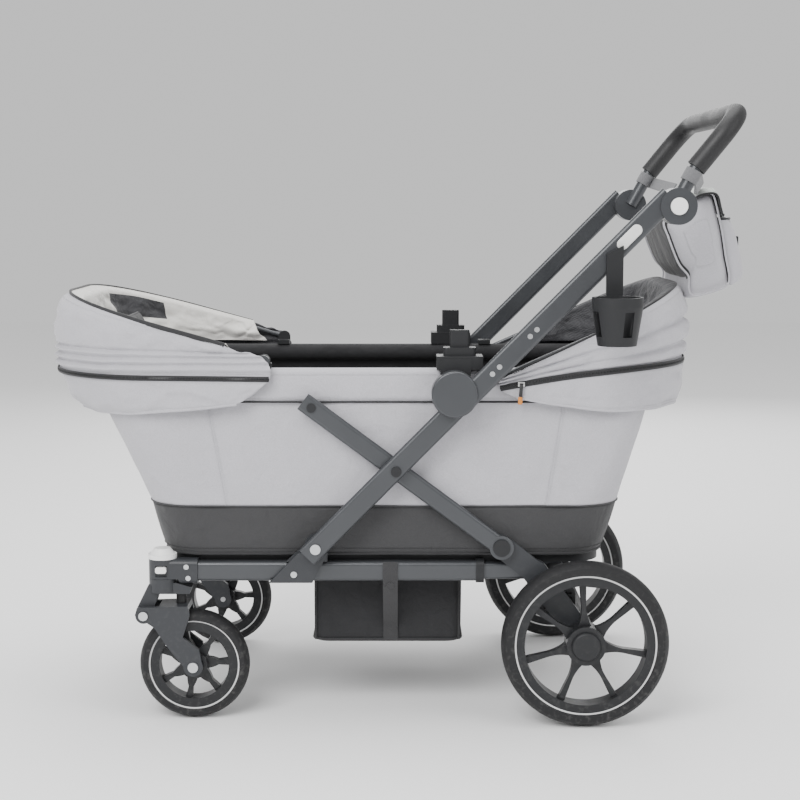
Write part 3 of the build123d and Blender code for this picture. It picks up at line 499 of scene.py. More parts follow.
def cloth_material(name, colour, fleck, roughness=0.86, sheen=0.25, threads=900.0, weave=0.00022,
                   pucker=0.0018, size=30.0):
    found = bpy.data.materials.get(name)
    if found:
        return found
    mat, tree, shader = start_material(name, roughness, Sheen_Weight=sheen, Sheen_Roughness=0.5)
    cloth = place(tree, "ShaderNodeGroup", node_tree=weave_group())
    cloth.inputs["Threads"].default_value = threads
    cloth.inputs["Pucker size"].default_value = size
    base = blend_colour(tree, cloth.outputs["Fleck"], fleck, colour)
    # Painted shade and painted light: the cloth is darker in the hollows of the soft creases and lighter on
    # their crowns, following the same noise as their bump.
    crease_shaded_tone = blend_colour(tree, cloth.outputs["Pucker"], shade(colour, 0.88), shade(colour, 1.1))
    tree.links.new(blend_colour(tree, 0.28, base, crease_shaded_tone), shader.inputs["Base Color"])
    rough = place(tree, "ShaderNodeMapRange", {"Value": cloth.outputs["Pucker"], "To Min": roughness - 0.08,
                                               "To Max": min(1.0, roughness + 0.08)})
    tree.links.new(rough.outputs[0], shader.inputs["Roughness"])
    threads_bump = place(tree, "ShaderNodeBump", {"Height": cloth.outputs["Height"], "Distance": weave,
                                                  "Strength": 0.8})
    soft = place(tree, "ShaderNodeBump", {"Height": cloth.outputs["Pucker"], "Distance": pucker * 4,
                                          "Strength": 0.6, "Normal": threads_bump.outputs[0]})
    tree.links.new(soft.outputs[0], shader.inputs["Normal"])
    return mat


def hard_material(name, colour, roughness, metallic=0.0, grain=1400.0, bump=0.00008, dust=0.25, ring=None,
                  foam=False, **sockets):
    """Paint, plastic, rubber or steel. ring is (centre x, centre z, radius, width) of a printed pale ring."""
    found = bpy.data.materials.get(name)
    if found:
        return found
    mat, tree, shader = start_material(name, roughness, metallic, **sockets)
    surface = place(tree, "ShaderNodeGroup", node_tree=grain_group())
    surface.inputs["Grain"].default_value = grain
    tone = blend_colour(tree, surface.outputs["Patch"], shade(colour, 0.86), shade(colour, 1.14))
    height = surface.outputs["Height"]
    if foam:
        skin = place(tree, "ShaderNodeGroup", node_tree=hide_group())
        height = skin.outputs["Height"]
        # Painted shade: the foam is darkened in the creases between its cells.
        tone = blend_colour(tree, maths(tree, "MULTIPLY", skin.outputs["Crease"], 0.5), tone,
                            shade(colour, 0.5))
    tone = blend_colour(tree, maths(tree, "MULTIPLY", surface.outputs["Dust"], dust * 0.3), tone,
                        (0.2, 0.195, 0.185))
    if ring:
        centre_x, centre_z, radius, width = ring
        at = place(tree, "ShaderNodeSeparateXYZ",
                   {0: place(tree, "ShaderNodeTexCoord").outputs["Object"]})
        dx = maths(tree, "SUBTRACT", at.outputs["X"], centre_x)
        dz = maths(tree, "SUBTRACT", at.outputs["Z"], centre_z)
        far = maths(tree, "SQRT", maths(tree, "MULTIPLY_ADD", dx, dx, maths(tree, "MULTIPLY", dz, dz)))
        off = maths(tree, "ABSOLUTE", maths(tree, "SUBTRACT", far, radius))
        mask = place(tree, "ShaderNodeMapRange", {"Value": off, "From Min": width / 2 + 0.0004,
                                                  "From Max": width / 2 - 0.0002})
        tone = blend_colour(tree, mask.outputs[0], tone, (0.72, 0.72, 0.72))
    tree.links.new(tone, shader.inputs["Base Color"])
    rough = place(tree, "ShaderNodeMapRange", {"Value": surface.outputs["Patch"], "From Min": 0.25,
                                               "From Max": 0.75, "To Min": max(0.05, roughness - 0.09),
                                               "To Max": min(1.0, roughness + 0.09)})
    tree.links.new(rough.outputs[0], shader.inputs["Roughness"])
    bumps = place(tree, "ShaderNodeBump", {"Height": height, "Distance": bump, "Strength": 0.7})
    tree.links.new(bumps.outputs[0], shader.inputs["Normal"])
    return mat


def cloths(scene):
    c = scene.wagon_cloth
    return {
        "light": cloth_material("Light melange cloth", c.light, c.fleck),
        "light_bag": cloth_material("Bag melange cloth", shade(c.light, 0.97), c.fleck, pucker=0.0018,
                                    size=18.0),
        "flap": cloth_material("Bag flap cloth", (0.50, 0.525, 0.50), (0.38, 0.40, 0.38)),
        "dark": cloth_material("Charcoal cloth", c.dark, shade(c.dark, 0.55), sheen=0.15),
        "black": cloth_material("Black cloth", c.black, shade(c.black, 0.4), sheen=0.12),
        "lining": cloth_material("Silver lining", c.lining, shade(c.lining, 0.85), roughness=0.55, sheen=0.05,
                                 pucker=0.0024, size=26.0),
        "mesh": cloth_material("Charcoal mesh", (0.045, 0.045, 0.05), (0.012, 0.012, 0.014), roughness=0.75,
                               sheen=0.1, threads=420.0, weave=0.0006, pucker=0.004, size=34.0),
        "binding": cloth_material("Black binding", (0.02, 0.02, 0.022), (0.008, 0.008, 0.009), roughness=0.78,
                                  sheen=0.15, threads=1500.0, weave=0.00012, pucker=0.0005),
        "webbing": cloth_material("Black webbing", (0.024, 0.024, 0.026), (0.010, 0.010, 0.011),
                                  roughness=0.7,
                                  sheen=0.15, threads=600.0, weave=0.0004, pucker=0.0003),
        "grey_webbing": cloth_material("Grey webbing", (0.16, 0.16, 0.168), (0.1, 0.1, 0.105), roughness=0.75,
                                       threads=600.0, weave=0.0004, pucker=0.0003),
        "thread": cloth_material("Sewing thread", (0.5, 0.5, 0.52), (0.36, 0.36, 0.38), threads=2600.0,
                                 weave=0.0001, pucker=0.0001),
    }


def hards(scene):
    h = scene.wagon_hard
    return {
        "metal": hard_material("Powder-coated tube", h.metal, 0.36, metallic=0.35, grain=900.0, bump=0.00006,
                               dust=0.3, Coat_Weight=0.15, Coat_Roughness=0.25),
        "moulding": hard_material("Frame moulding", h.moulding, 0.42, grain=1600.0, bump=0.00008, dust=0.5,
                                  Specular_IOR_Level=0.32),
        "plastic": hard_material("Textured plastic", h.plastic, 0.5, grain=1900.0, bump=0.00012, dust=0.3,
                                 Specular_IOR_Level=0.32),
        "gloss": hard_material("Smooth pedal plastic", (0.024, 0.024, 0.026), 0.3, grain=700.0, bump=0.00004),
        "white": hard_material("White plastic", h.white, 0.34, grain=1200.0, bump=0.00005, dust=0.15),
        "tyre": hard_material("Foam tyre", (0.012, 0.012, 0.013), 0.62, grain=2200.0, bump=0.0002, dust=0.9,
                              Specular_IOR_Level=0.32),
        "steel": hard_material("Zinc-plated steel", (0.56, 0.57, 0.58), 0.3, metallic=1.0, grain=800.0,
                               bump=0.00004, dust=0.2),
        "grip": hard_material("Grip foam", (0.0135, 0.0135, 0.0145), 0.5, bump=0.00022, dust=0.0, foam=True,
                              Specular_IOR_Level=0.4),
        "amber": hard_material("Amber moulding", (0.55, 0.2, 0.03), 0.42),
        "teeth": hard_material("Zip teeth", (0.012, 0.012, 0.013), 0.36, grain=900.0, bump=0.00003, dust=0.0),
        "silver": hard_material("Nickel slider", (0.6, 0.6, 0.6), 0.24, metallic=1.0, grain=600.0,
                                bump=0.00003, dust=0.0),
        "badge": hard_material("Blank badge", (0.72, 0.72, 0.71), 0.38, grain=1200.0, bump=0.00003,
                               dust=0.05),
    }


# ------------------------------------------------------------------ repeats along a seam
def row_tree():
    """Small blocks set at equal steps along a path, each turned to lie along it."""
    tree = bpy.data.node_groups.get("Row along a seam")
    if tree:
        return tree
    tree = bpy.data.node_groups.new("Row along a seam", "GeometryNodeTree")
    face = tree.interface
    face.new_socket("Geometry", in_out="INPUT", socket_type="NodeSocketGeometry")
    for label, default in (("Spacing", 0.004), ("Jitter", 0.06)):
        face.new_socket(label, in_out="INPUT", socket_type="NodeSocketFloat").default_value = default
    face.new_socket("Size", in_out="INPUT", socket_type="NodeSocketVector").default_value = (0.003, 0.001,
                                                                                             0.001)
    face.new_socket("Material", in_out="INPUT", socket_type="NodeSocketMaterial")
    face.new_socket("Geometry", in_out="OUTPUT", socket_type="NodeSocketGeometry")
    given, out = tree.nodes.new("NodeGroupInput"), tree.nodes.new("NodeGroupOutput")
    curve = place(tree, "GeometryNodeMeshToCurve", {"Mesh": given.outputs["Geometry"]})
    steps = place(tree, "GeometryNodeResampleCurve", {"Curve": curve.outputs["Curve"],
                                                      "Length": given.outputs["Spacing"]}, mode="LENGTH")
    turned = place(tree, "FunctionNodeAlignRotationToVector",
                   {"Vector": place(tree, "GeometryNodeInputTangent").outputs[0]}, axis="X",
                   pivot_axis="AUTO")
    block = place(tree, "GeometryNodeMeshCube", {"Size": given.outputs["Size"]})
    scale = place(tree, "FunctionNodeRandomValue", data_type="FLOAT")
    for index, value in ((2, maths(tree, "SUBTRACT", 1.0, given.outputs["Jitter"])), (3, 1.0), (8, 7)):
        if isinstance(value, bpy.types.NodeSocket):
            tree.links.new(value, scale.inputs[index])
        else:
            scale.inputs[index].default_value = value
    on = place(tree, "GeometryNodeInstanceOnPoints",
               {"Points": steps.outputs["Curve"], "Instance": block.outputs["Mesh"],
                "Rotation": turned.outputs["Rotation"]})
    tree.links.new(scale.outputs[1], on.inputs["Scale"])
    real = place(tree, "GeometryNodeRealizeInstances", {"Geometry": on.outputs["Instances"]})
    done = place(tree, "GeometryNodeSetMaterial", {"Geometry": real.outputs["Geometry"],
                                                   "Material": given.outputs["Material"]})
    tree.links.new(done.outputs["Geometry"], out.inputs["Geometry"])
    return tree


def seam_row(name, path, spacing, size, material, closed=False):
    """Stitches or zip teeth along a path, as one plain mesh."""
    mesh = bpy.data.meshes.new(name)
    n = len(path)
    edges = [(i, (i + 1) % n) for i in range(n if closed else n - 1)]
    mesh.from_pydata([Vector(p) * MM for p in path], edges, [])
    obj = bpy.data.objects.new(name, mesh)
    bpy.context.scene.collection.objects.link(obj)
    tree = row_tree()
    rows = obj.modifiers.new("Row", "NODES")
    rows.node_group = tree
    sockets = {item.name: item.identifier for item in tree.interface.items_tree if item.in_out == "INPUT"}
    rows[sockets["Spacing"]] = spacing
    rows[sockets["Jitter"]] = 0.06
    rows[sockets["Size"]] = [v * MM for v in size]
    rows[sockets["Material"]] = material
    bake_modifiers(obj)
    dress(obj, material)
    return obj


def stitch_row(name, path, material, closed=False):
    return seam_row(name, path, bpy.context.scene.wagon_cloth.stitch, STITCH, material, closed)


# ------------------------------------------------------------------ tub
def level(z):
    """Ends, half width and corner radius of the tub at a height."""
    low, high = (TUB_LEVELS[0], TUB_LEVELS[1]) if z < TUB_LEVELS[1][0] else (TUB_LEVELS[1], TUB_LEVELS[2])
    t = (z - low[0]) / (high[0] - low[0])
    return tuple(a + (b - a) * t for a, b in zip(low[1:], high[1:]))


def ring(x0, x1, half_y, radius, long=64, short=30, arc=14):
    """Points and outward directions round a rounded box, in the same count whatever its size."""
    centres = ((x1 - radius, half_y - radius), (x0 + radius, half_y - radius), (x0 + radius, radius - half_y),
               (x1 - radius, radius - half_y))
    out = []
    for i, (cx, cy) in enumerate(centres):
        for k in range(arc + 1):
            a = math.radians(90 * i + 90 * k / arc)
            out.append((cx + radius * math.cos(a), cy + radius * math.sin(a), math.cos(a), math.sin(a)))
        nx, ny = centres[(i + 1) % 4]
        a = math.radians(90 * (i + 1))
        start = out[-1][:2]
        end = (nx + radius * math.cos(a), ny + radius * math.sin(a))
        count = long if i % 2 == 0 else short
        for k in range(1, count):
            t = k / count
            out.append((start[0] + (end[0] - start[0]) * t, start[1] + (end[1] - start[1]) * t,
                        math.cos(a), math.sin(a)))
    return out


def tub_fold(x, y, z, depth):
    """Soft upright folds that fade at the rim and gather near the seams."""
    slant = x + 0.35 * (z - SEAM_Z) * (1 if x < 0 else -1)
    broad = noise.noise(Vector((slant / 78, y / 78, z / 380)))
    fine = 0.5 * noise.noise(Vector((slant / 30 + 9, y / 30, z / 150))) + 0.45 * crumple(x, y, z * 0.6, 31,
                                                                                         52)
    pull = math.exp(-((x + 340) / 26) ** 2) + math.exp(-((x - 255) / 26) ** 2)
    return depth * (1.2 * broad + 0.55 * fine) - depth * 0.7 * pull


def fold_share(z):
    """How much of the fold depth shows at a height: none at the seam, and little under the rim."""
    return min(1.0, (z - SEAM_Z) / 30) * min(1.0, (FOLD_TOP_Z - z) / 60 + 0.15)


def tub_row(z, offset, depth=0.0):
    """One line round the tub, moved out by the offset and the folds."""
    row = []
    for x, y, nx, ny in ring(*level(z)):
        push = offset + (tub_fold(x, y, z, depth) if depth else 0.0)
        row.append((x + nx * push, y + ny * push, z))
    return row


def tub_line(at, offset, z=None):
    """The tub's plain outline at a height, moved out, and set at z where one is given."""
    return [(x + nx * offset, y + ny * offset, at if z is None else z) for x, y, nx, ny in ring(*level(at))]


class MakeTubWalls(bpy.types.Operator):
    """Upper tub of light cloth sewn round the top rail, with its rim band, trim and seams"""

    bl_idname = "wagon.tub_walls"
    bl_label = "Tub walls"

    def execute(self, context):
        cloth = cloths(context.scene)
        depth = context.scene.wagon_cloth.fold
        heights = [379.6, 384, 392, 402, 414, 428, 444, 462, 482, 502, 522, 542, 558, 572, 586, 600, 612]
        rows = [tub_row(z, 0.0, depth * fold_share(z)) for z in heights]
        for z, offset in ((617, -2.5), (620, -8), (620.8, -15), (619, -22), (613, -27), (603, -28.5),
                          (595, -26),
                          (590, -18), (586, -9), (580, -6)):
            rows.append(tub_row(z, offset))
        outer = len(heights) + 3
        rows += [tub_row(z, -WALL, depth * fold_share(z)) for z in reversed(heights[:-3])]
        walls = grid("tub_walls_cloth", rows, around=True, over=True)
        face_out(walls)
        dress(walls, cloth["light"], cloth["black"])
        width = len(rows[0])
        for index, face in enumerate(walls.data.polygons):
            face.material_index = 0 if index // width < outer - 1 else 1
        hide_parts("tub_walls")

        band_rows = []
        for z, offset in ((563, 1.0), (563.4, 2.3), (575, 2.6), (590, 2.5), (606, 2.3), (615, 1.2),
                          (617.5, -1.2)):
            row = []
            for x, y, nx, ny in ring(*level(z)):
                push = offset + 0.5 * ripple(x, y, z, 5, 45)
                row.append((x + nx * push, y + ny * push, z))
            band_rows.append(row)
        band = shell("tub_rim_band", band_rows, cloth["light"], cloth["light"], 1.6,
                     (0, 0, 560), around=True)

        piping = sweep("tub_band_piping", tub_line(BAND_Z, 3.0), round_section(1.7, sides=8), closed=True)
        clad(piping, "black_fabric", cloth["binding"])

        under = [(x + nx * 0.9, y + ny * 0.9, 379.6 + 1.2 * ripple(x, y, 0, 3, 110))
                 for x, y, nx, ny in ring(*level(380))]
        join = sweep("tub_join_welt", under, round_section(1.3, sides=8), closed=True)
        clad(join, "dark_fabric", cloth["dark"])

        pieces = [walls, band, piping, join]
        for z in (568, 611):
            stitches = stitch_row(f"tub_stitches_{z}", tub_line(z, 3.05), cloth["thread"], closed=True)
            pieces.append(stitches)
        seams = []
        for side in (-1, 1):
            for x_low, x_high in ((-318, -352), (238, 268)):
                path = []
                for k in range(30):
                    z = 382 + 181 * k / 29
                    x = x_low + (x_high - x_low) * k / 29
                    fold = tub_fold(x, side * TUB_HALF, z, depth * fold_share(z))
                    path.append((x, side * (TUB_HALF + 0.4 + fold), z))
                seams.append(dress(sweep("seam", path, round_section(0.9, 0.7, 8), up=(1, 0, 0)),
                                   cloth["light"]))
                path = [(x + 4.5, y + side * 0.35, z) for x, y, z in path]
                seams.append(stitch_row("seam_stitches", path, cloth["thread"]))
        welts = joined("tub_side_seams", seams)
        pieces.append(welts)
        for piece in pieces:
            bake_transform(piece)
        return {"FINISHED"}


class MakeTubBase(bpy.types.Operator):
    """Charcoal lower band and floor of the tub, open over the footwell"""

    bl_idname = "wagon.tub_base"
    bl_label = "Tub base"

    def execute(self, context):
        cloth = cloths(context.scene)
        rows = [tub_row(z, offset, 1.4 * min(1, (z - 290) / 30))
                for z, offset in ((379.0, 0.0), (372, 0.3), (360, 0.8), (345, 1.0), (330, 0.9), (315, 0.4))]
        rows += [tub_row(z, offset) for z, offset in ((302, -0.6), (295, -3), (291.5, -8), (290.4, -14))]
        ground = ring(*level(291))
        hole = ring(FOOTWELL[0] - 1, FOOTWELL[1] + 1, FOOTWELL[2] + 1, FOOTWELL[3])
        for share, z in ((0.3, 290.3), (0.65, 290.3), (1.0, 290.3), (1.0, 295.6), (0.65, 295.7),
                         (0.3, 295.7)):
            rows.append([(g[0] + (h[0] - g[0]) * share - g[2] * 14 * (1 - share),
                          g[1] + (h[1] - g[1]) * share - g[3] * 14 * (1 - share), z) for g,
                          h in zip(ground, hole)])
        rows += [tub_row(z, offset) for z,
                 offset in ((296.5, -11), (300, -6), (320, -4.5), (350, -4.2), (379, -4.2))]
        base = grid("tub_base_cloth", rows, around=True, over=True)
        face_out(base)
        dress(base, cloth["dark"], cloth["black"])
        width = len(rows[0])
        for index, face in enumerate(base.data.polygons):
            face.material_index = 0 if index // width < 12 else 1
        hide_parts("tub_base")
        piping = sweep("tub_base_piping", tub_line(294, -2.4, 294.2), round_section(2.6, sides=10),
                       closed=True)
        clad(piping, "black_fabric", cloth["binding"])
        stitches = stitch_row("tub_base_stitches", tub_line(304, 0.2), cloth["black"], closed=True)
        for piece in (base, piping, stitches):
            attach(piece, "chassis")
        return {"FINISHED"}


class MakeFootwell(bpy.types.Operator):
    """Black cloth footwell with bound edges"""

    bl_idname = "wagon.footwell"
    bl_label = "Footwell"

    def execute(self, context):
        cloth = cloths(context.scene)

        def belly(x, y, ny, z, deep):
            """How far the cloth of the footwell bulges at a point."""
            run = math.sin(math.pi * min(1.0, max(0.0, (z - 118) / 172)))
            side = math.cos(math.pi * x / 300) if abs(ny) > 0.9 else math.cos(math.pi * y / 420)
            return deep * run * max(0.0, side) + 1.1 * ripple(x, y, z * 0.5, 4, 38) * run

        rows = []
        for z, inset, radius in ((298.9, -11, 30), (296.4, -11, 30), (296.2, -2, 22), (294, -0.5, 20)):
            rows.append([(x, y, z) for x, y, nx, ny in
                         ring(FOOTWELL[0] + inset, FOOTWELL[1] - inset, FOOTWELL[2] - inset, radius)])
        for z in (285, 270, 250, 230, 210, 190, 170, 152, 138, 130):
            row = []
            for x, y, nx, ny in ring(*FOOTWELL):
                push = belly(x, y, ny, z, 1.5) - 0.5
                row.append((x + nx * push, y + ny * push, z))
            rows.append(row)
        for z, inset in ((124, 1.2), (120, 4.5), (118.2, 10)):
            rows.append([(x, y, z) for x, y, nx, ny in
                         ring(FOOTWELL[0] + inset, FOOTWELL[1] - inset, FOOTWELL[2] - inset, 20)])
        for share in (0.6, 0.2, 0.02):
            rows.append([(-37.5 + (x + 37.5) * share, y * share, 118.2) for x, y, nx, ny in
                         ring(FOOTWELL[0] + 10, FOOTWELL[1] - 10, FOOTWELL[2] - 10, 20)])
        well = grid("footwell_cloth", rows, around=True)
        dress(well, cloth["black"], cloth["black"])

        def close(bm):
            n = len(rows[0])
            bm.verts.ensure_lookup_table()
            bm.faces.new([bm.verts[(len(rows) - 1) * n + u] for u in range(n)])
            bmesh.ops.recalc_face_normals(bm, faces=bm.faces[:])

        edit(well, close)
        thicken(well, 2.4, (-37, 0, 260))
        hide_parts("footwell")
        trims = []
        for z, grow in ((125.0, 0.6), (286.0, 0.7)):
            edge = [(x + nx * grow, y + ny * grow, z) for x, y, nx, ny in ring(*FOOTWELL)]
            trims.append(sweep("trim", edge, round_section(2.2, sides=8), closed=True))
        for x, y in ((-166.5, 186.5), (-166.5, -186.5), (91.5, 186.5), (91.5, -186.5)):
            trims.append(sweep("trim", [(x, y, z) for z in (124, 160, 200, 240, 286)],
                               round_section(2.2, sides=8),
                               up=(1, 0, 0)))
        bound = joined("footwell_binding", [dress(t, cloth["binding"]) for t in trims])
        for piece in (well, bound):
            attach(piece, "chassis")
        return {"FINISHED"}


# ------------------------------------------------------------------ canopies
def hood_path(x_far, x_end, half_y, corner, along=44, arc=26, across=26):
    """From the left end along the side, round the wagon's end and back: x, y and the way out."""
    s = 1 if x_far > x_end else -1
    out = []
    for side in (-1, 1):
        run = []
        for k in range(along):
            run.append((x_end + (x_far - s * corner - x_end) * k / along, side * half_y, 0.0, float(side)))
        for k in range(arc + 1):
            a = math.pi / 2 * k / arc
            run.append((x_far - s * corner + s * corner * math.sin(a),
                        side * (half_y - corner + corner * math.cos(a)),
                        s * math.sin(a), side * math.cos(a)))
        if side < 0:
            out += run
            y0 = -(half_y - corner)
            out += [(x_far, y0 * (1 - 2 * k / across), float(s), 0.0) for k in range(1, across)]
        else:
            out += run[::-1]
    return out


def hood_row(row, half_y, corner, wrinkle, seed):
    """One line of the cloth. row holds far x, far z, end x, end z, outward push, sag and wrinkle share."""
    x_far, z_far, x_end, z_end, push, sag, share = row
    out = []
    for x, y, nx, ny in hood_path(x_far, x_end, half_y, corner):
        t = min(1.0, max(0.0, (x - x_end) / (x_far - x_end)))
        z = z_end + (z_far - z_end) * t + sag * math.sin(math.pi * t)
        crease = 0.8 * crumple(x, y, z, seed, 58) + 0.3 * crumple(x, y, z, seed + 2, 24)
        lift = push + 2.2 * (1 - t) ** 5 + wrinkle * share * crease
        out.append((x + nx * lift, y + ny * lift, z + 0.8 * wrinkle * share * ripple(x, y, z, seed + 1, 70)))
    return out


# Lines of each canopy's cloth from the rim to the hem, as hood_row takes them: x and z at the wagon's
# end, x and z at the side end, push outwards, sag, and share of the wrinkles.
FRONT_ROWS = (
    (-613, 745, -316, 663, 0, 0, 0.1), (-624, 738, -312, 660, 0.6, 0, 0.3), (-635, 722, -305, 658, 1, 0, 0.6),
    (-640, 700, -298, 655, 1.4, 2, 1.0), (-641, 676, -290, 652, 1.2, 2, 1.0),
    (-640, 661, -280, 650, 0.2, 2, 0.5),
    (-638, 654, -268, 648, -3.2, 1, 0.1), (-641, 648, -258, 644, 2.0, 1, 0.5),
    (-638, 641, -250, 640, -3.4, 0, 0.1),
    (-641, 634, -244, 634, 2.0, 0, 0.5), (-638, 628, -240, 628, -3.4, 0, 0.1),
    (-641, 621, -237, 621, 2.0, 0, 0.5),
    (-637, 614, -237, 613, -2.6, 0, 0.1), (-636, 608, -240, 604, 0, 0, 0.0),
    (-632, 601, -246, 597, 0.2, 0, 0.1),
    (-627, 589, -256, 588, 0.8, -1, 0.8), (-618, 571, -270, 577, 1.2, -3, 1.0),
    (-606, 555, -284, 568, 1.2, -5, 1.0),
    (-594, 542, -296, 561, 0.8, -6, 0.6),
)
REAR_ROWS = (
    (484, 761, 176, 613, 0, 0, 0.1), (492, 752, 171, 611, 0.6, 0, 0.3), (501, 733, 165, 608, 1, 0, 0.8),
    (504, 714, 161, 605, 1.2, 2, 1.0), (500, 702, 158, 603, -3.0, 2, 0.3), (505, 694, 156, 601, 1.2, 3, 0.6),
    (508, 683, 155, 600, 2.6, 4, 0.9), (506, 670, 155, 598, 1.0, 4, 0.6), (500, 661, 155, 597, -3.4, 5, 0.1),
    (503, 652, 155, 595, 2.0, 5, 0.8), (502, 641, 155, 593, 0.8, 6, 0.6), (498, 633, 156, 591, -2.6, 7, 0.1),
    (499, 626, 157, 589, 0, 8, 0.0), (499, 618, 159, 586, 0.3, 7, 0.1), (497, 603, 162, 583, 1.0, 3, 0.8),
    (494, 582, 168, 580, 1.4, -4, 1.0), (490, 564, 176, 576, 1.2, -10, 1.0),
    (487, 551, 186, 573, 0.8, -12, 0.6),
)
# Name, lines, body that opens, corner radius, the zip's line, seed, and where the cloth blends.
HOODS = (
    ("front", FRONT_ROWS, "front_canopy", 190.0, 13, 7, ((0.0, 0.0, 0.60), (-0.20, 0.0, 0.73))),
    ("rear", REAR_ROWS, "rear_canopy", 180.0, 12, 21, ((0.0, 0.0, 0.585), (0.12, 0.0, 0.73))),
)
HOOD_Y, HOOD_STEPS = 269.3, 5
LINING_STEPS, LINING_WRINKLE = 6, 5.0


class MakeCanopies(bpy.types.Operator):
    """Both folded canopies: the cloth, bound rim, zip, lining and hem"""

    bl_idname = "wagon.canopies"
    bl_label = "Canopies"

    def execute(self, context):
        cloth, hard = cloths(context.scene), hards(context.scene)
        wrinkle = context.scene.wagon_cloth.roll
        for name, profile, body, corner, zip_row, seed, bend in HOODS:
            fine = catmull(profile, HOOD_STEPS)
            rows = [hood_row(r, HOOD_Y, corner, wrinkle, seed) for r in fine]
            hood = grid(f"{name}_canopy_cloth", rows)
            dress(hood, cloth["light"], cloth["mesh"])
            centre = ((profile[0][0] + profile[0][2]) / 2, 0, 640)
            thicken(hood, 1.5, centre)
            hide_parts(f"{name}_canopy_fabric")
            parts = [hood]

            def strip(label, row, width, thick, push, material, up_z=(0, 0, 1), slot="black_fabric"):
                path = hood_row((*row[:4], row[4] + push, row[5], row[6]), HOOD_Y, corner, wrinkle, seed)
                piece = sweep(f"{name}_{label}", path, [(b, a) for a, b in strap_section(width, thick)],
                              up=up_z)
                parts.append(clad(piece, slot, material))
                return path

            rim = 8.5 if name == "front" else 4.0
            strip("canopy_rim_binding", fine[0], rim, 3.4, -0.6, cloth["binding"])
            strip("canopy_hem", fine[-1], 5.0, 2.6, -0.5, cloth["light"], slot="light_fabric")
            zip_fine = fine[zip_row * HOOD_STEPS]
            zip_width = 9.5 if name == "front" else 11.0
            strip("canopy_zip_tape", zip_fine, zip_width, 1.4, 0.9, cloth["binding"])
            for shift in (-0.85, 0.85):
                row = list(zip_fine)
                row[1] += shift
                row[3] += shift
                row[4] += 1.9
                path = hood_row(tuple(row), HOOD_Y, corner, wrinkle, seed)
                teeth = seam_row(f"{name}_canopy_zip_teeth_{'low' if shift < 0 else 'high'}", path,
                                 TOOTH_PITCH,
                                 TOOTH, hard["teeth"])
                parts.append(teeth)
            for row_at, rise in ((0, -9.0), (zip_row, 9.0), (zip_row, -9.0), (len(profile) - 1, 6.0)):
                row = list(fine[row_at * HOOD_STEPS])
                step = HOOD_STEPS if rise < 0 else -HOOD_STEPS
                near = fine[min(len(fine) - 1, max(0, row_at * HOOD_STEPS + step))]
                share = min(1.0, abs(rise) / max(4.0, abs(near[1] - row[1])))
                row = [a + (b - a) * share for a, b in zip(row, near)]
                row[4] += 0.25
                path = hood_row(tuple(row), HOOD_Y, corner, wrinkle, seed)
                label = f"{name}_canopy_stitches_{row_at}_{'under' if rise < 0 else 'over'}"
                stitches = stitch_row(label, path, cloth["thread"])
                parts.append(stitches)

            top = profile[0]
            lining_rows = []
            if name == "front":
                inner = ((0, 0, 3, 1.5, -2.5, 0.0), (10, -7, 6, -5, -10.5, 0.2), (14, -20, 9, -10, -13, 0.7),
                         (18, -48, 12, -16, -15, 1.4), (24, -78, 18, -24, -18, 1.8),
                         (32, -104, 26, -31, -17, 1.2),
                         (38, -116, 30, -37, -15, 0.4))
            else:
                inner = ((0, 0, 3, 1.0, -2.5, 0.0), (-8, -7, 6, -1, -10.5, 0.2), (-10, -22, 9, -2, -13, 0.7),
                         (-14, -50, 14, -3, -15, 1.4), (-20, -80, 22, 3, -17, 1.8),
                         (-30, -110, 30, 6, -16, 1.2),
                         (-36, -130, 36, 10, -15, 0.4))
            for dx_far, dz_far, dx_end, dz_end, push, share in inner:
                lining_rows.append((top[0] + dx_far, top[1] + dz_far, top[2] + dx_end, top[3] + dz_end, push,
                                    0,
                                    share))
            fine_lining = catmull(lining_rows, LINING_STEPS)
            rows = [hood_row(r, HOOD_Y, corner, LINING_WRINKLE, seed + 5) for r in fine_lining]
            lining = grid(f"{name}_canopy_lining", rows)
            dress(lining, cloth["lining"], cloth["lining"], cloth["mesh"])
            if name == "front":
                columns = [u for u, p in enumerate(rows[0]) if p[1] > 60 and -606 < p[0] < -516]
                for v in range(10, 20):
                    for u in columns:
                        lining.data.polygons[v * (len(rows[0]) - 1) + u].material_index = 1
            thicken(lining, 1.2, (centre[0], 0, 640))
            if name == "rear":
                for f in lining.data.polygons:
                    f.material_index = 2
            parts.append(lining)
            for piece in parts:
                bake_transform(piece)

            if name == "front":
                continue
            slider_x, slider_z = 193, 596
            zip_body = rounded_box("body", (slider_x, -275.4, slider_z), (12, 3.0, 8), 1.2)
            bridge = sweep("bridge", [(slider_x - 4, -276.6, slider_z), (slider_x - 2, -279, slider_z),
                                      (slider_x + 2, -279, slider_z), (slider_x + 4, -276.6, slider_z)],
                           round_section(1.0, sides=8), up=(0, 1, 0))
            pull = sweep("pull", [(slider_x, -279.6, slider_z + 2), (slider_x - 0.5, -279.8, slider_z - 8),
                                  (slider_x - 1.5, -279, slider_z - 21)], strap_section(6.0, 1.8),
                                  up=(0, 1, 0))
            tip = rounded_box("tip", (slider_x - 2, -278.8, slider_z - 28), (7.5, 3.0, 13), 1.3)
            dress(zip_body, hard["silver"])
            dress(bridge, hard["silver"])
            dress(pull, hard["teeth"])
            dress(tip, hard["amber"])
            slider = joined(f"{name}_zip_slider", [zip_body, bridge, pull, tip])
            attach(slider, "top_frame")
        return {"FINISHED"}


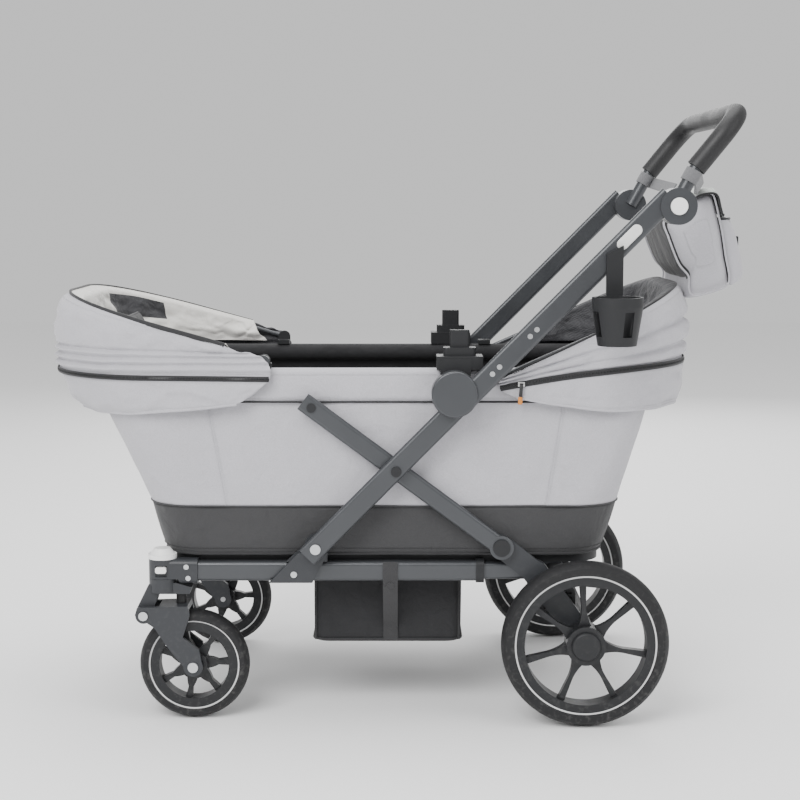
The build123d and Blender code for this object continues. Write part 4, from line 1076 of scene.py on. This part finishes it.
# ------------------------------------------------------------------ pads and harness
def cushion(name, place_point, half_a, half_b, corner, thick, crown, channels=()):
    """A crowned pad: sides pull in between the corners and sewn channels sink across it."""
    outline = ring(-half_a, half_a, half_b, corner, long=28, short=28, arc=8)
    shares = [0.03, 0.12, 0.24, 0.36, 0.48, 0.6, 0.71, 0.8, 0.87, 0.93, 0.97, 0.995]

    def face(share, up):
        row = []
        for x, y, nx, ny in outline:
            pull = 1 - 0.012 * math.cos(math.pi * x / (2 * half_a)) * math.cos(math.pi * y / (2 * half_b))
            a, b = x * share * pull, y * share * pull
            body = (1 - share ** 6) ** 0.5
            rise = (thick / 2 + (crown if up else crown * 0.15) * (1 - share ** 2)) * body
            for line in channels:
                rise -= (4.5 if up else 0.5) * body * math.exp(-((a - line) / 7.0) ** 2)
            rise += 0.8 * ripple(a, b, 10 if up else 40, 6, 55) * body if up else 0
            row.append(place_point(a, b, rise if up else -rise))
        return row

    rows = [face(s, True) for s in shares] + [face(s, False) for s in reversed(shares)]
    return closed_loft(name, rows)


# Name, the seat's two ends, the backrest's foot and top as x and z, and which way it faces.
SEATS = (("front", (-423.0, -184.0), (-404.0, 330.6), (-537.0, 690.0), 1),
         ("rear", (109.0, 334.0), (314.0, 330.6), (386.0, 600.0), -1))
# Middle height, half width, corner radius and thickness of a seat pad, and the same of a backrest.
SEAT_Z, SEAT_HALF, SEAT_CORNER, SEAT_THICK = 296.3 + 17, 225.0, 48, 34.0
BACK_HALF, BACK_CORNER, BACK_THICK, BACK_STAND = 184.0, 26, 22.0, 4
PIPING_OUT = 0.4


class MakeSeats(bpy.types.Operator):
    """Seat pads, backrests and the harness on each"""

    bl_idname = "wagon.seats"
    bl_label = "Seats"

    def execute(self, context):
        cloth, hard = cloths(context.scene), hards(context.scene)
        pads = context.scene.wagon_pads
        seat_pieces, back_pieces = [], []
        for name, (x0, x1), foot, top, facing in SEATS:
            middle = (x0 + x1) / 2
            z_mid = SEAT_Z
            pad = cushion(f"{name}_seat_pad", lambda a, b, c: (middle + a, b, z_mid + c), (x1 - x0) / 2 - 1,
                          SEAT_HALF, SEAT_CORNER,
                          SEAT_THICK, pads.crown * 0.6, channels=(-40.0, 40.0))
            clad(pad, "black_fabric", cloth["black"])
            edge = [(middle + x, y, z_mid) for x, y, nx, ny in
                    ring(-(x1 - x0) / 2 + 0.6, (x1 - x0) / 2 - 0.6, SEAT_HALF + PIPING_OUT, SEAT_CORNER, 28,
                         28, 8)]
            piping = dress(sweep(f"{name}_seat_piping", edge, round_section(2.2, sides=8), closed=True),
                           cloth["binding"])
            seat_pieces += [pad, piping]

            run = Vector((top[0] - foot[0], 0, top[1] - foot[1]))
            tall = run.length
            along = run.normalized()
            out = Vector((facing * along.z, 0, -facing * along.x))
            base = Vector((foot[0], 0, foot[1])) + out * BACK_STAND
            half = tall / 2 - 2

            def lean(a, b, c, base=base, along=along, out=out, half=half):
                return tuple(base + along * (a + half + 2) + out * c + Vector((0, b, 0)))

            lines = [half * (2 * (k + 1) / (pads.channels + 1) - 1) for k in range(pads.channels)]
            back = cushion(f"{name}_backrest_pad", lean, half, BACK_HALF, BACK_CORNER, BACK_THICK,
                           pads.crown * 0.5, channels=lines)
            clad(back, "black_fabric", cloth["black"])
            edge = [lean(x, y, 0) for x, y, nx,
                    ny in ring(-half, half, BACK_HALF + PIPING_OUT, BACK_CORNER, 28, 28, 8)]
            back_piping = sweep(f"{name}_backrest_piping", edge, round_section(2.0, sides=8), up=tuple(out),
                                closed=True)
            dress(back_piping, cloth["binding"])
            straps = []
            for side in (-1, 1):
                path = [lean(half * 0.62 - k * half * 0.19, side * (62 - 2.5 * k),
                             13.5 + 3.2 * math.sin(math.pi * k / 8))
                        for k in range(8)]
                straps.append(dress(sweep("strap", path, strap_section(pads.webbing, 1.8), up=tuple(out)),
                                    cloth["webbing"]))
                pad_path = [lean(half * 0.58 - k * half * 0.1, side * (61.5 - 1.3 * k),
                                 16.5 + 3.2 * math.sin(math.pi * k / 8)) for k in range(5)]
                straps.append(dress(sweep("cover", pad_path, strap_section(pads.webbing + 16, 6.0),
                                          up=tuple(out)),
                                    cloth["black"]))
            harness = joined(f"{name}_harness", straps)
            back_pieces += [(part, foot, top) for part in (back, back_piping, harness)]

            crotch_x = middle + facing * 20
            path = [(crotch_x - facing * 50, 0, z_mid + 17.4), (crotch_x - facing * 20, 0, z_mid + 22.5),
                    (crotch_x + facing * 5, 0, z_mid + 24.5)]
            crotch = dress(sweep("crotch", path, strap_section(pads.webbing, 1.8)), cloth["webbing"])
            buckle = dress(rounded_box("buckle", (crotch_x - facing * 45, 0, z_mid + 26), (44, 36, 10), 3.5),
                           hard["plastic"])
            button = dress(rounded_box("button", (crotch_x - facing * 45, 0, z_mid + 31), (20, 16, 3), 1.2),
                           hard["moulding"])
            lap = [dress(sweep("lap", [(crotch_x - facing * 45, side * 17, z_mid + 26),
                                       (crotch_x - facing * 55, side * 60, z_mid + 23.5),
                                       (crotch_x - facing * 85, side * 120, z_mid + 19)],
                               strap_section(pads.webbing, 1.8)), cloth["webbing"]) for side in (-1, 1)]
            lock = joined(f"{name}_harness_buckle", [crotch, buckle, button, *lap])
            seat_pieces.append(lock)
        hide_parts("seat_pads")
        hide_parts("backrests")
        for piece in seat_pieces:
            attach(piece, "chassis")
        for piece, foot, top in back_pieces:
            along = Vector((top[0] - foot[0], 0, top[1] - foot[1])).normalized()
            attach(piece, "chassis")
            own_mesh(piece)
        return {"FINISHED"}


# ------------------------------------------------------------------ bag and handle
BAG_LOOP = ((497, 915), (520, 925), (540, 927), (549, 905), (556, 876), (562, 850), (569, 808), (577, 768),
            (570, 750), (540, 739), (508, 734), (500, 748), (499, 770), (482, 790), (470, 815), (458, 846),
            (449, 872), (462, 888), (480, 902))


BAG_CENTRE, BAG_HALF, BAG_SHIFT = (522.0, 836.0), 149.0, 1.5
FLAP_HALF, FLAP_TOP_Z, POCKET_HALF = 147, 933.0, 138


def bag_back(z):
    """Where the bag's rear wall stands at a height."""
    rear = ((768, 577), (808, 569), (850, 562), (876, 556), (905, 549), (927, 540))
    for (z0, x0), (z1, x1) in zip(rear, rear[1:]):
        if z <= z1:
            return x0 + (x1 - x0) * max(0.0, (z - z0)) / (z1 - z0)
    return rear[-1][1]


class MakeBag(bpy.types.Operator):
    """Soft storage bag with its flap, piping, rear pocket and tab"""

    bl_idname = "wagon.storage_bag"
    bl_label = "Storage bag"

    def execute(self, context):
        cloth, hard = cloths(context.scene), hards(context.scene)
        loop = loop_smooth(BAG_LOOP, 4)
        cx, cz = BAG_CENTRE
        half = BAG_HALF
        ys = [-half * math.cos(math.pi * k / 56) for k in range(57)]
        rows = []
        for y in ys:
            e = abs(y) / half
            size = max(0.02, (1 - e ** 7)) ** (1 / 4.5)
            row = []
            for x, z in loop:
                dx, dz = (x - cx) * size, (z - cz) * size
                droop = -4.0 * math.cos(math.pi * y / 300) * (1 if z < 760 else 0)
                fold = 2.6 * ripple(0, y * 1.3, z * 0.25, 8, 26) * (1 - e ** 6) * min(1.0, abs(dx) / 20)
                row.append((cx + dx + fold * (1 if dx > 0 else -1) * 0.8 - BAG_SHIFT, y,
                            cz + dz + droop * 0.6))
            rows.append(row)
        bag = closed_loft("storage_bag_cloth", rows)
        dress(bag, cloth["light_bag"], cloth["dark"])
        # Painted shade: the bag's front face, turned away from the light, is given the charcoal cloth.
        paint_faces(bag, 1, lambda c, n: n.x < -0.3 and 770 < c.z < 890 and abs(c.y) < 137)
        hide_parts("storage_bag")
        pieces = [bag]

        for side in (-1, 1):
            path = [(cx + (x - cx) * 0.93 - BAG_SHIFT, side * 142.5, cz + (z - cz) * 0.93) for x, z in loop]
            welt = clad(sweep(f"bag_{'left' if side < 0 else 'right'}_welt", path,
                               round_section(1.8, sides=8),
                               up=(0, 1, 0), closed=True), "light_fabric", cloth["light_bag"])
            pieces.append(welt)

        flap_line = catmull([(462, 894), (478, 908), (499, 919.5), (520, 929), (539, 931.5), (547.5, 925),
                             (552, 908),
                             (556, 893), (558, 886)], 4)
        rows = []
        for x, z in flap_line:
            row = []
            for k in range(41):
                y = -FLAP_HALF + 2 * FLAP_HALF * k / 40
                e = abs(y) / FLAP_HALF
                drop = -14 * max(0.0, e - 0.86) / 0.14
                row.append((x + 0.9 * ripple(0, y, z, 9, 34), y,
                            min(FLAP_TOP_Z, z) + drop * (0.7 if z > 890 else 0.2)))
            rows.append(row)
        flap = shell("bag_flap", rows, cloth["flap"], cloth["black"], 1.8,
                     (520, 0, 860))
        edge = rows[-1]
        left = [r[0] for r in rows]
        right = [r[-1] for r in rows]
        border = left + edge[1:-1] + right[::-1]
        trim = dress(sweep("bag_flap_piping", border, round_section(1.9, sides=8), up=(0.3, 0.2, 1)),
                     cloth["binding"])
        stitches = stitch_row("bag_flap_stitches", [(x + 0.6, y * 0.985, z + 6) for x, y, z in edge[1:-1]],
                              cloth["thread"])
        pieces += [flap, trim, stitches]

        pouch_line = catmull([(579, 876), (590, 854), (598, 828), (606, 800), (608, 781), (602, 766),
                              (586, 759)], 5)
        rows = []
        for index, (x, z) in enumerate(pouch_line):
            row = []
            for k in range(49):
                y = -POCKET_HALF + 2 * POCKET_HALF * k / 48
                e = abs(y) / POCKET_HALF
                stand = (1 - e ** 5) ** 0.5 if e < 1 else 0.0
                near = bag_back(z) - 3.0
                fold = 2.2 * ripple(0, y * 1.2, z * 0.3, 12, 24) * stand
                gather = 2.0 * math.cos(y / 7.0) * max(0.0, 1 - index / 8) * stand
                row.append((near + (x - near) * stand + fold + gather * 0.5, y, z + gather * 0.4))
            rows.append(row)
        pocket = shell("bag_pocket", rows, cloth["light_bag"], cloth["black"], 1.8,
                       (520, 0, 820))
        lip = clad(sweep("bag_pocket_binding", rows[0], round_section(2.6, 2.0, 8)), "black_fabric",
                   cloth["binding"])
        pieces += [pocket, lip]
        inner = grid("bag_pocket_shade", [[(bag_back(z) + 1.6, y, z) for y in (-126, -63, 0, 63, 126)]
                                          for z in (775, 800, 825, 850, 866)])
        dress(inner, cloth["black"], cloth["black"])
        thicken(inner, 1.0, (480, 0, 820))
        pieces.append(inner)

        tab_path = [(557, 0, 900), (570, 0, 889), (586, 0, 877), (598, 0, 858), (605, 0, 840)]
        tab = dress(sweep("tab", tab_path, strap_section(24, 2.0), up=(1, 0, 0)), cloth["webbing"])
        clip = dress(rounded_box("clip", (609, 0, 832), (8, 30, 22), 2.5), hard["plastic"])
        latch = joined("bag_tab", [tab, clip])
        pieces.append(latch)
        for piece in pieces:
            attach(piece, "handle_frame")
        return {"FINISHED"}


class MakeTrim(bpy.types.Operator):
    """Blank badges on the handle arms"""

    bl_idname = "wagon.trim"
    bl_label = "Trim"

    def execute(self, context):
        hard = hards(context.scene)
        slope = math.radians(ARM_ANGLE)
        direction = Vector((math.cos(slope), 0, math.sin(slope)))
        lift = Vector((-direction.z, 0, direction.x))
        for side, tag in ((-1, "left"), (1, "right")):
            centre = Vector((ARM_FOOT[0], side * ARM_FACE, ARM_FOOT[1])) + direction * BADGE_RUN
            rows = []
            for grow, out in ((1.0, -0.4), (1.0, 0.7), (0.97, 1.1), (0.88, 1.25), (0.3, 1.35), (0.02, 1.35)):
                row = []
                for k in range(48):
                    a = 2 * math.pi * k / 48
                    along = BADGE_HALF * (1 if math.cos(a) > 0 else -1) + BADGE_RADIUS * math.cos(a)
                    p = centre + direction * (along * grow) + lift * (BADGE_RADIUS * math.sin(a) * grow)
                    row.append((p.x, p.y + side * out, p.z))
                rows.append(row)
            badge = closed_loft(f"{tag}_blank_badge", rows)
            clad(badge, "white_plastic", hard["badge"])
            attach(badge, "handle_frame")
        return {"FINISHED"}


# ------------------------------------------------------------------ finishes of the hard parts
FINISHES = {
    "metal": ("outer_rails", "inner_rails", "cross_tubes", "lower_arms", "cross_legs", "handle_arms",
              "push_handle",
              "top_rail", "front_canopy_bow", "rear_canopy_bow"),
    "moulding": ("rear_legs", "front_castings", "frame_brackets", "left_caster_knuckle",
                 "right_caster_knuckle",
                 "left_caster_fork", "right_caster_fork"),
    "plastic": ("rail_collars", "brake_housing", "cross_leg_bolts", "cup_holder", "fold_hubs",
                "car_seat_adapters",
                "canopy_clamps", "floor_panel", "left_rear_hub_cap", "right_rear_hub_cap"),
    "white": ("caster_caps", "left_swivel_lock", "right_swivel_lock", "left_tilt_button",
              "right_tilt_button"),
    "tyre": ("left_rear_tyre", "right_rear_tyre", "left_front_tyre", "right_front_tyre", "left_caster_spring",
             "right_caster_spring"),
    "steel": ("rear_axle", "frame_bolts", "arm_screws", "left_caster_bolts", "right_caster_bolts"),
    "gloss": ("brake_pedal",),
    "grip": ("push_grip",),
}


class FinishHardParts(bpy.types.Operator):
    """Paint, plastic, rubber and steel on every hard part"""

    bl_idname = "wagon.finishes"
    bl_label = "Finishes"

    def execute(self, context):
        hard, cloth = hards(context.scene), cloths(context.scene)
        for key, names in FINISHES.items():
            for name in names:
                dress(NODES[name], hard[key])
        dress(NODES["footwell_straps"], cloth["webbing"])
        dress(NODES["bag_straps"], cloth["grey_webbing"])
        width = context.scene.wagon_hard.stripe
        for end, (x, z, r) in WHEEL_RINGS:
            rim = hard_material(f"Wheel moulding with {end} ring", (0.014, 0.0145, 0.016), 0.4, grain=1500.0,
                                bump=0.00008, dust=0.5, ring=(x, z, r, width), Specular_IOR_Level=0.32)
            for side in ("left", "right"):
                dress(NODES[f"{side}_{end}_wheel"], rim)
        return {"FINISHED"}


# ------------------------------------------------------------------ stage
class SetStage(bpy.types.Operator):
    """Pale floor, soft light and the camera"""

    bl_idname = "wagon.stage"
    bl_label = "Stage"

    def execute(self, context):
        scene = context.scene
        settings = scene.wagon_stage
        world = bpy.data.worlds.new("Studio")
        world.use_nodes = True
        back = world.node_tree.nodes["Background"]
        back.inputs["Color"].default_value = (1.0, 1.0, 1.0, 1.0)
        back.inputs["Strength"].default_value = WORLD_STRENGTH
        scene.world = world
        floor = make_mesh("floor", [(a * FLOOR_REACH, b * FLOOR_REACH, FLOOR_DROP)
                                    for a, b in ((-1, -1), (1, -1), (1, 1), (-1, 1))], [(0, 1, 2, 3)])
        mat, tree, shader = start_material("Studio floor", 0.9)
        spots = place(tree, "ShaderNodeTexNoise", {"Scale": 3.0, "Detail": 2.0})
        tone = blend_colour(tree, spots.outputs["Fac"], shade(settings.floor, 0.99), settings.floor)
        tree.links.new(tone, shader.inputs["Base Color"])
        dress(floor, mat)
        for name, place_at, aim, size, power in (
                ("key", (-1.6, -3.2, 3.4), (0, 0, 0.5), 2.6, settings.key),
                ("fill", (3.2, -2.2, 2.2), (0, 0, 0.5), 2.6, settings.key * 0.22),
                ("top", (0.2, 0.6, 3.8), (0, 0, 0.4), 3.0, settings.key * 0.5),
                ("back", (0.5, 3.6, 2.2), (0, 0, 0.5), 2.6, settings.key * 0.3)):
            light = bpy.data.lights.new(name, "AREA")
            light.shape = "SQUARE"
            light.size = size
            light.energy = power
            lamp = bpy.data.objects.new(name, light)
            lamp.location = place_at
            lamp.rotation_euler = (Vector(aim) - Vector(place_at)).to_track_quat("-Z", "Y").to_euler()
            scene.collection.objects.link(lamp)
        camera = bpy.data.cameras.new("camera")
        camera.lens = settings.lens
        camera.sensor_width = CAMERA_SENSOR
        camera.clip_end = 50.0
        eye = bpy.data.objects.new("camera", camera)
        eye.location = CAMERA_PLACE
        eye.rotation_euler = (math.radians(90 - CAMERA_TILT), 0.0, 0.0)
        scene.collection.objects.link(eye)
        scene.camera = eye
        return {"FINISHED"}


OPERATORS = (FinishHardParts, MakeTubWalls, MakeTubBase, MakeFootwell, MakeCanopies, MakeSeats, MakeBag,
             MakeTrim,
             SetStage)
GROUPS = (("wagon_cloth", WagonCloth), ("wagon_pads", WagonPads), ("wagon_hard", WagonHard),
          ("wagon_stage", WagonStage))


class WagonPanel(bpy.types.Panel):
    """Buttons and settings of the wagon"""

    bl_idname = "VIEW3D_PT_wagon"
    bl_label = "Wagon"
    bl_space_type = "VIEW_3D"
    bl_region_type = "UI"
    bl_category = "Wagon"

    def draw(self, context):
        for name, group in GROUPS:
            box = self.layout.box()
            box.label(text=group.__doc__)
            for key in group.__annotations__:
                box.prop(getattr(context.scene, name), key)
        for operator in OPERATORS:
            self.layout.operator(operator.bl_idname)


def register():
    for _, group in GROUPS:
        bpy.utils.register_class(group)
    for name, group in GROUPS:
        setattr(bpy.types.Scene, name, PointerProperty(type=group))
    for operator in OPERATORS:
        bpy.utils.register_class(operator)
    bpy.utils.register_class(WagonPanel)


def unregister():
    bpy.utils.unregister_class(WagonPanel)
    for operator in reversed(OPERATORS):
        bpy.utils.unregister_class(operator)
    for name, group in reversed(GROUPS):
        delattr(bpy.types.Scene, name)
        bpy.utils.unregister_class(group)


def main():
    register()
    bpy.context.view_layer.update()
    for operator in OPERATORS:
        group, name = operator.bl_idname.split(".")
        getattr(getattr(bpy.ops, group), name)()


if __name__ == "__main__":
    main()
